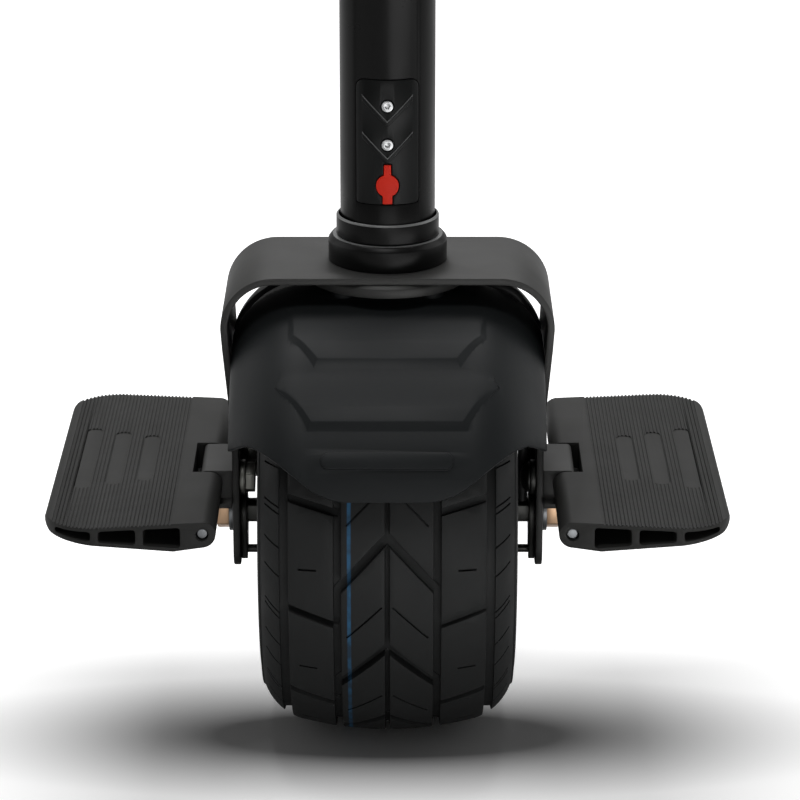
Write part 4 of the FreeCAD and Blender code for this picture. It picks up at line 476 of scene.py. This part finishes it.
# Studio lamps: name, place, size across and up, watts, point that it faces
LAMPS = [
    ("overhead_softbox", (-0.1, 0.52, 2.3), (1.8, 0.7), 28.0, (0.0, 0.0, 0.2)),
    ("front_softbox", (-0.2, -1.0, 2.5), (1.0, 0.5), 17.0, (0.0, 0.0, 0.25)),
    ("low_front_panel", (0.15, -2.4, 0.2), (1.6, 0.4), 6.0, (0.0, 0.0, 0.15)),
    ("side_panel_left", (-2.0, 0.5, 1.1), (2.0, 2.0), 11.0, (0.0, 0.0, 0.4)),
    ("side_panel_right", (2.0, 0.5, 1.1), (2.0, 2.0), 16.0, (0.0, 0.0, 0.4)),
    ("back_panel", (0.2, 2.0, 2.0), (2.0, 1.4), 12.0, (0.0, 0.0, 0.3)),
]
FLOOR_LAMP = "overhead_softbox"
# Light of the room on every surface, against the white of the backdrop
ROOM_LIGHT = 0.12
# The floor's size in metres, and its painted shadow, an ellipse where the floor's own glow is held back: how
# far before the wheel its middle lies, how it is stretched, where the glow comes back round it, and how much
# of its white is back at the shadow's edge
FLOOR_SIZE = 30.0
SHADOW_AHEAD = 0.036
SHADOW_SHAPE = (0.3, 1.0, 0.0)
SHADOW_CORE = 0.03
SHADOW_EDGE = 0.09
SHADOW_END = 0.4
GLOW_AT_PAINTED_SHADOW_EDGE = 0.6
# Share of the white floor that gloss mirrors
FLOOR_GLEAM = 0.25
# White card on the floor: size, place and brightness
CARD_SIZE = 0.9
CARD_PLACE = (0.5, -0.85, 0.002)
CARD_LIGHT = 2.4


def hang_backdrop():
    """A white backdrop behind the machine, and the dark half of the room before it."""
    world = bpy.data.worlds.new("studio")
    world.use_nodes = True
    bpy.context.scene.world = world
    tree = world.node_tree
    background = tree.nodes["Background"]
    background.inputs["Color"].default_value = WHITE
    path = add(tree, "ShaderNodeLightPath")
    way = add(tree, "ShaderNodeSeparateXYZ", {"Vector": add(tree, "ShaderNodeTexCoord").outputs["Generated"]})
    behind = add(tree, "ShaderNodeMapRange", {
        "Value": way.outputs["Y"], "From Min": -0.2, "From Max": 0.9, "To Min": 0.1, "To Max": 0.4})
    mirrored = add(tree, "ShaderNodeMath", {
        0: path.outputs["Is Glossy Ray"], 1: behind.outputs["Result"]}, operation="MULTIPLY")
    sharp = add(tree, "ShaderNodeMath", {
        0: path.outputs["Is Camera Ray"], 1: path.outputs["Is Transmission Ray"]}, operation="MAXIMUM")
    seen = add(tree, "ShaderNodeMath", {0: mirrored.outputs[0], 1: sharp.outputs[0]}, operation="MAXIMUM")
    level = add(tree, "ShaderNodeMath", {0: seen.outputs[0], 1: ROOM_LIGHT}, operation="MAXIMUM")
    tree.links.new(level.outputs[0], background.inputs["Strength"])


def light_studio(floor):
    """Soft lamps round the machine; the floor takes the overhead lamp alone, which keeps its shadow deep."""
    machine_alone = bpy.data.collections.new("machine_alone")
    machine_alone.objects.link(floor)
    machine_alone.collection_objects[0].light_linking.link_state = "EXCLUDE"
    for name, place, (across, up), watts, target in LAMPS:
        lamp = bpy.data.lights.new(name, "AREA")
        lamp.shape = "RECTANGLE"
        lamp.size = across
        lamp.size_y = up
        lamp.energy = watts
        holder = bpy.data.objects.new(name, lamp)
        holder.location = place
        aim = [goal - start for goal, start in zip(target, place)]
        turn = math.atan2(aim[0], -aim[1])
        tip = math.atan2(math.hypot(aim[0], aim[1]), -aim[2])
        holder.rotation_euler = (tip, 0.0, turn + math.pi)
        if name != FLOOR_LAMP:
            holder.light_linking.receiver_collection = machine_alone
        bpy.context.scene.collection.objects.link(holder)


def lay_floor():
    """A white floor that glows, with a painted shadow: within an ellipse under the machine its glow is held
    back, which darkens the floor there on top of the real shadow, and the floor turns white away from it.
    """
    bpy.ops.object.select_all(action="DESELECT")
    bpy.ops.mesh.primitive_plane_add(size=FLOOR_SIZE, location=(0.0, 0.0, 0.0))
    floor = bpy.context.active_object
    floor.name = "studio_floor"
    finish, tree, shader = new_finish("white_paper_floor", "#f4f4f4", 0.9)
    path = add(tree, "ShaderNodeLightPath")
    seen = add(tree, "ShaderNodeMath", {
        0: path.outputs["Is Camera Ray"], 1: path.outputs["Is Transmission Ray"]}, operation="MAXIMUM")
    bright = add(tree, "ShaderNodeMath", {
        0: path.outputs["Is Glossy Ray"], 1: FLOOR_GLEAM, 2: seen.outputs[0]}, operation="MULTIPLY_ADD")
    flat = add(tree, "ShaderNodeMapping", {
        "Vector": add(tree, "ShaderNodeTexCoord").outputs["Object"],
        "Location": (0.0, SHADOW_AHEAD, 0.0), "Scale": SHADOW_SHAPE})
    # Painted shadow: the floor's glow rises from nothing at the ellipse's core to full white at its end
    away = add(tree, "ShaderNodeVectorMath", {0: flat.outputs["Vector"]}, operation="LENGTH").outputs["Value"]
    near = add(tree, "ShaderNodeMapRange", {
        "Value": away, "From Min": SHADOW_CORE, "From Max": SHADOW_EDGE,
        "To Min": 0.0, "To Max": GLOW_AT_PAINTED_SHADOW_EDGE})
    far = add(tree, "ShaderNodeMapRange", {
        "Value": away, "From Min": SHADOW_EDGE, "From Max": SHADOW_END,
        "To Min": 0.0, "To Max": 1.0 - GLOW_AT_PAINTED_SHADOW_EDGE})
    glow_beyond_painted_shadow = add(tree, "ShaderNodeMath", {
        0: near.outputs["Result"], 1: far.outputs["Result"]}, operation="ADD")
    lift = add(tree, "ShaderNodeMath", {0: bright.outputs[0], 1: glow_beyond_painted_shadow.outputs[0]}, operation="MULTIPLY")
    shader.inputs["Emission Color"].default_value = WHITE
    tree.links.new(lift.outputs[0], shader.inputs["Emission Strength"])
    floor.data.materials.append(finish)
    return floor


def lay_reflector():
    """A white card on the floor, right of the lens: it gives the upright gleam on the stem's rings."""
    bpy.ops.object.select_all(action="DESELECT")
    bpy.ops.mesh.primitive_plane_add(size=CARD_SIZE, location=CARD_PLACE)
    card = bpy.context.active_object
    card.name = "reflector_card"
    finish, _, shader = new_finish("white_reflector", "#f4f4f4", 0.9)
    shader.inputs["Emission Color"].default_value = WHITE
    shader.inputs["Emission Strength"].default_value = CARD_LIGHT
    card.data.materials.append(finish)


# The machine in its studio
bpy.context.scene.view_settings.view_transform = "Standard"
place_camera()
finishes = make_finishes()
for node, source in frame["nodes"].items():
    source.data.materials.clear()
    source.data.materials.append(finishes[slot_of[node]])
finish_of = {node: finishes[slot] for node, slot in slot_of.items()}
finish_of["left_bracket_bolts"] = finishes["worn_bolt"]
shown = {node: softened(node, width, finish_of[node]) for node, width in EDGE_BREAKS.items()}
# Painted highlights: pale grey on the faces of raised edges that look upwards
for node, inner, outer in PAINTED_HIGHLIGHT_EDGES:
    paint_edge_highlights(shown[node], inner, outer, finishes["painted_edge_highlight"])
for side, word in ((-1, "left"), (1, "right")):
    add_sidewall_rings(shown["tyre"], side, word, finishes["tyre_rubber"])
    wind_thread(side, word, finishes["axle_steel"])
hang_backdrop()
light_studio(lay_floor())
lay_reflector()
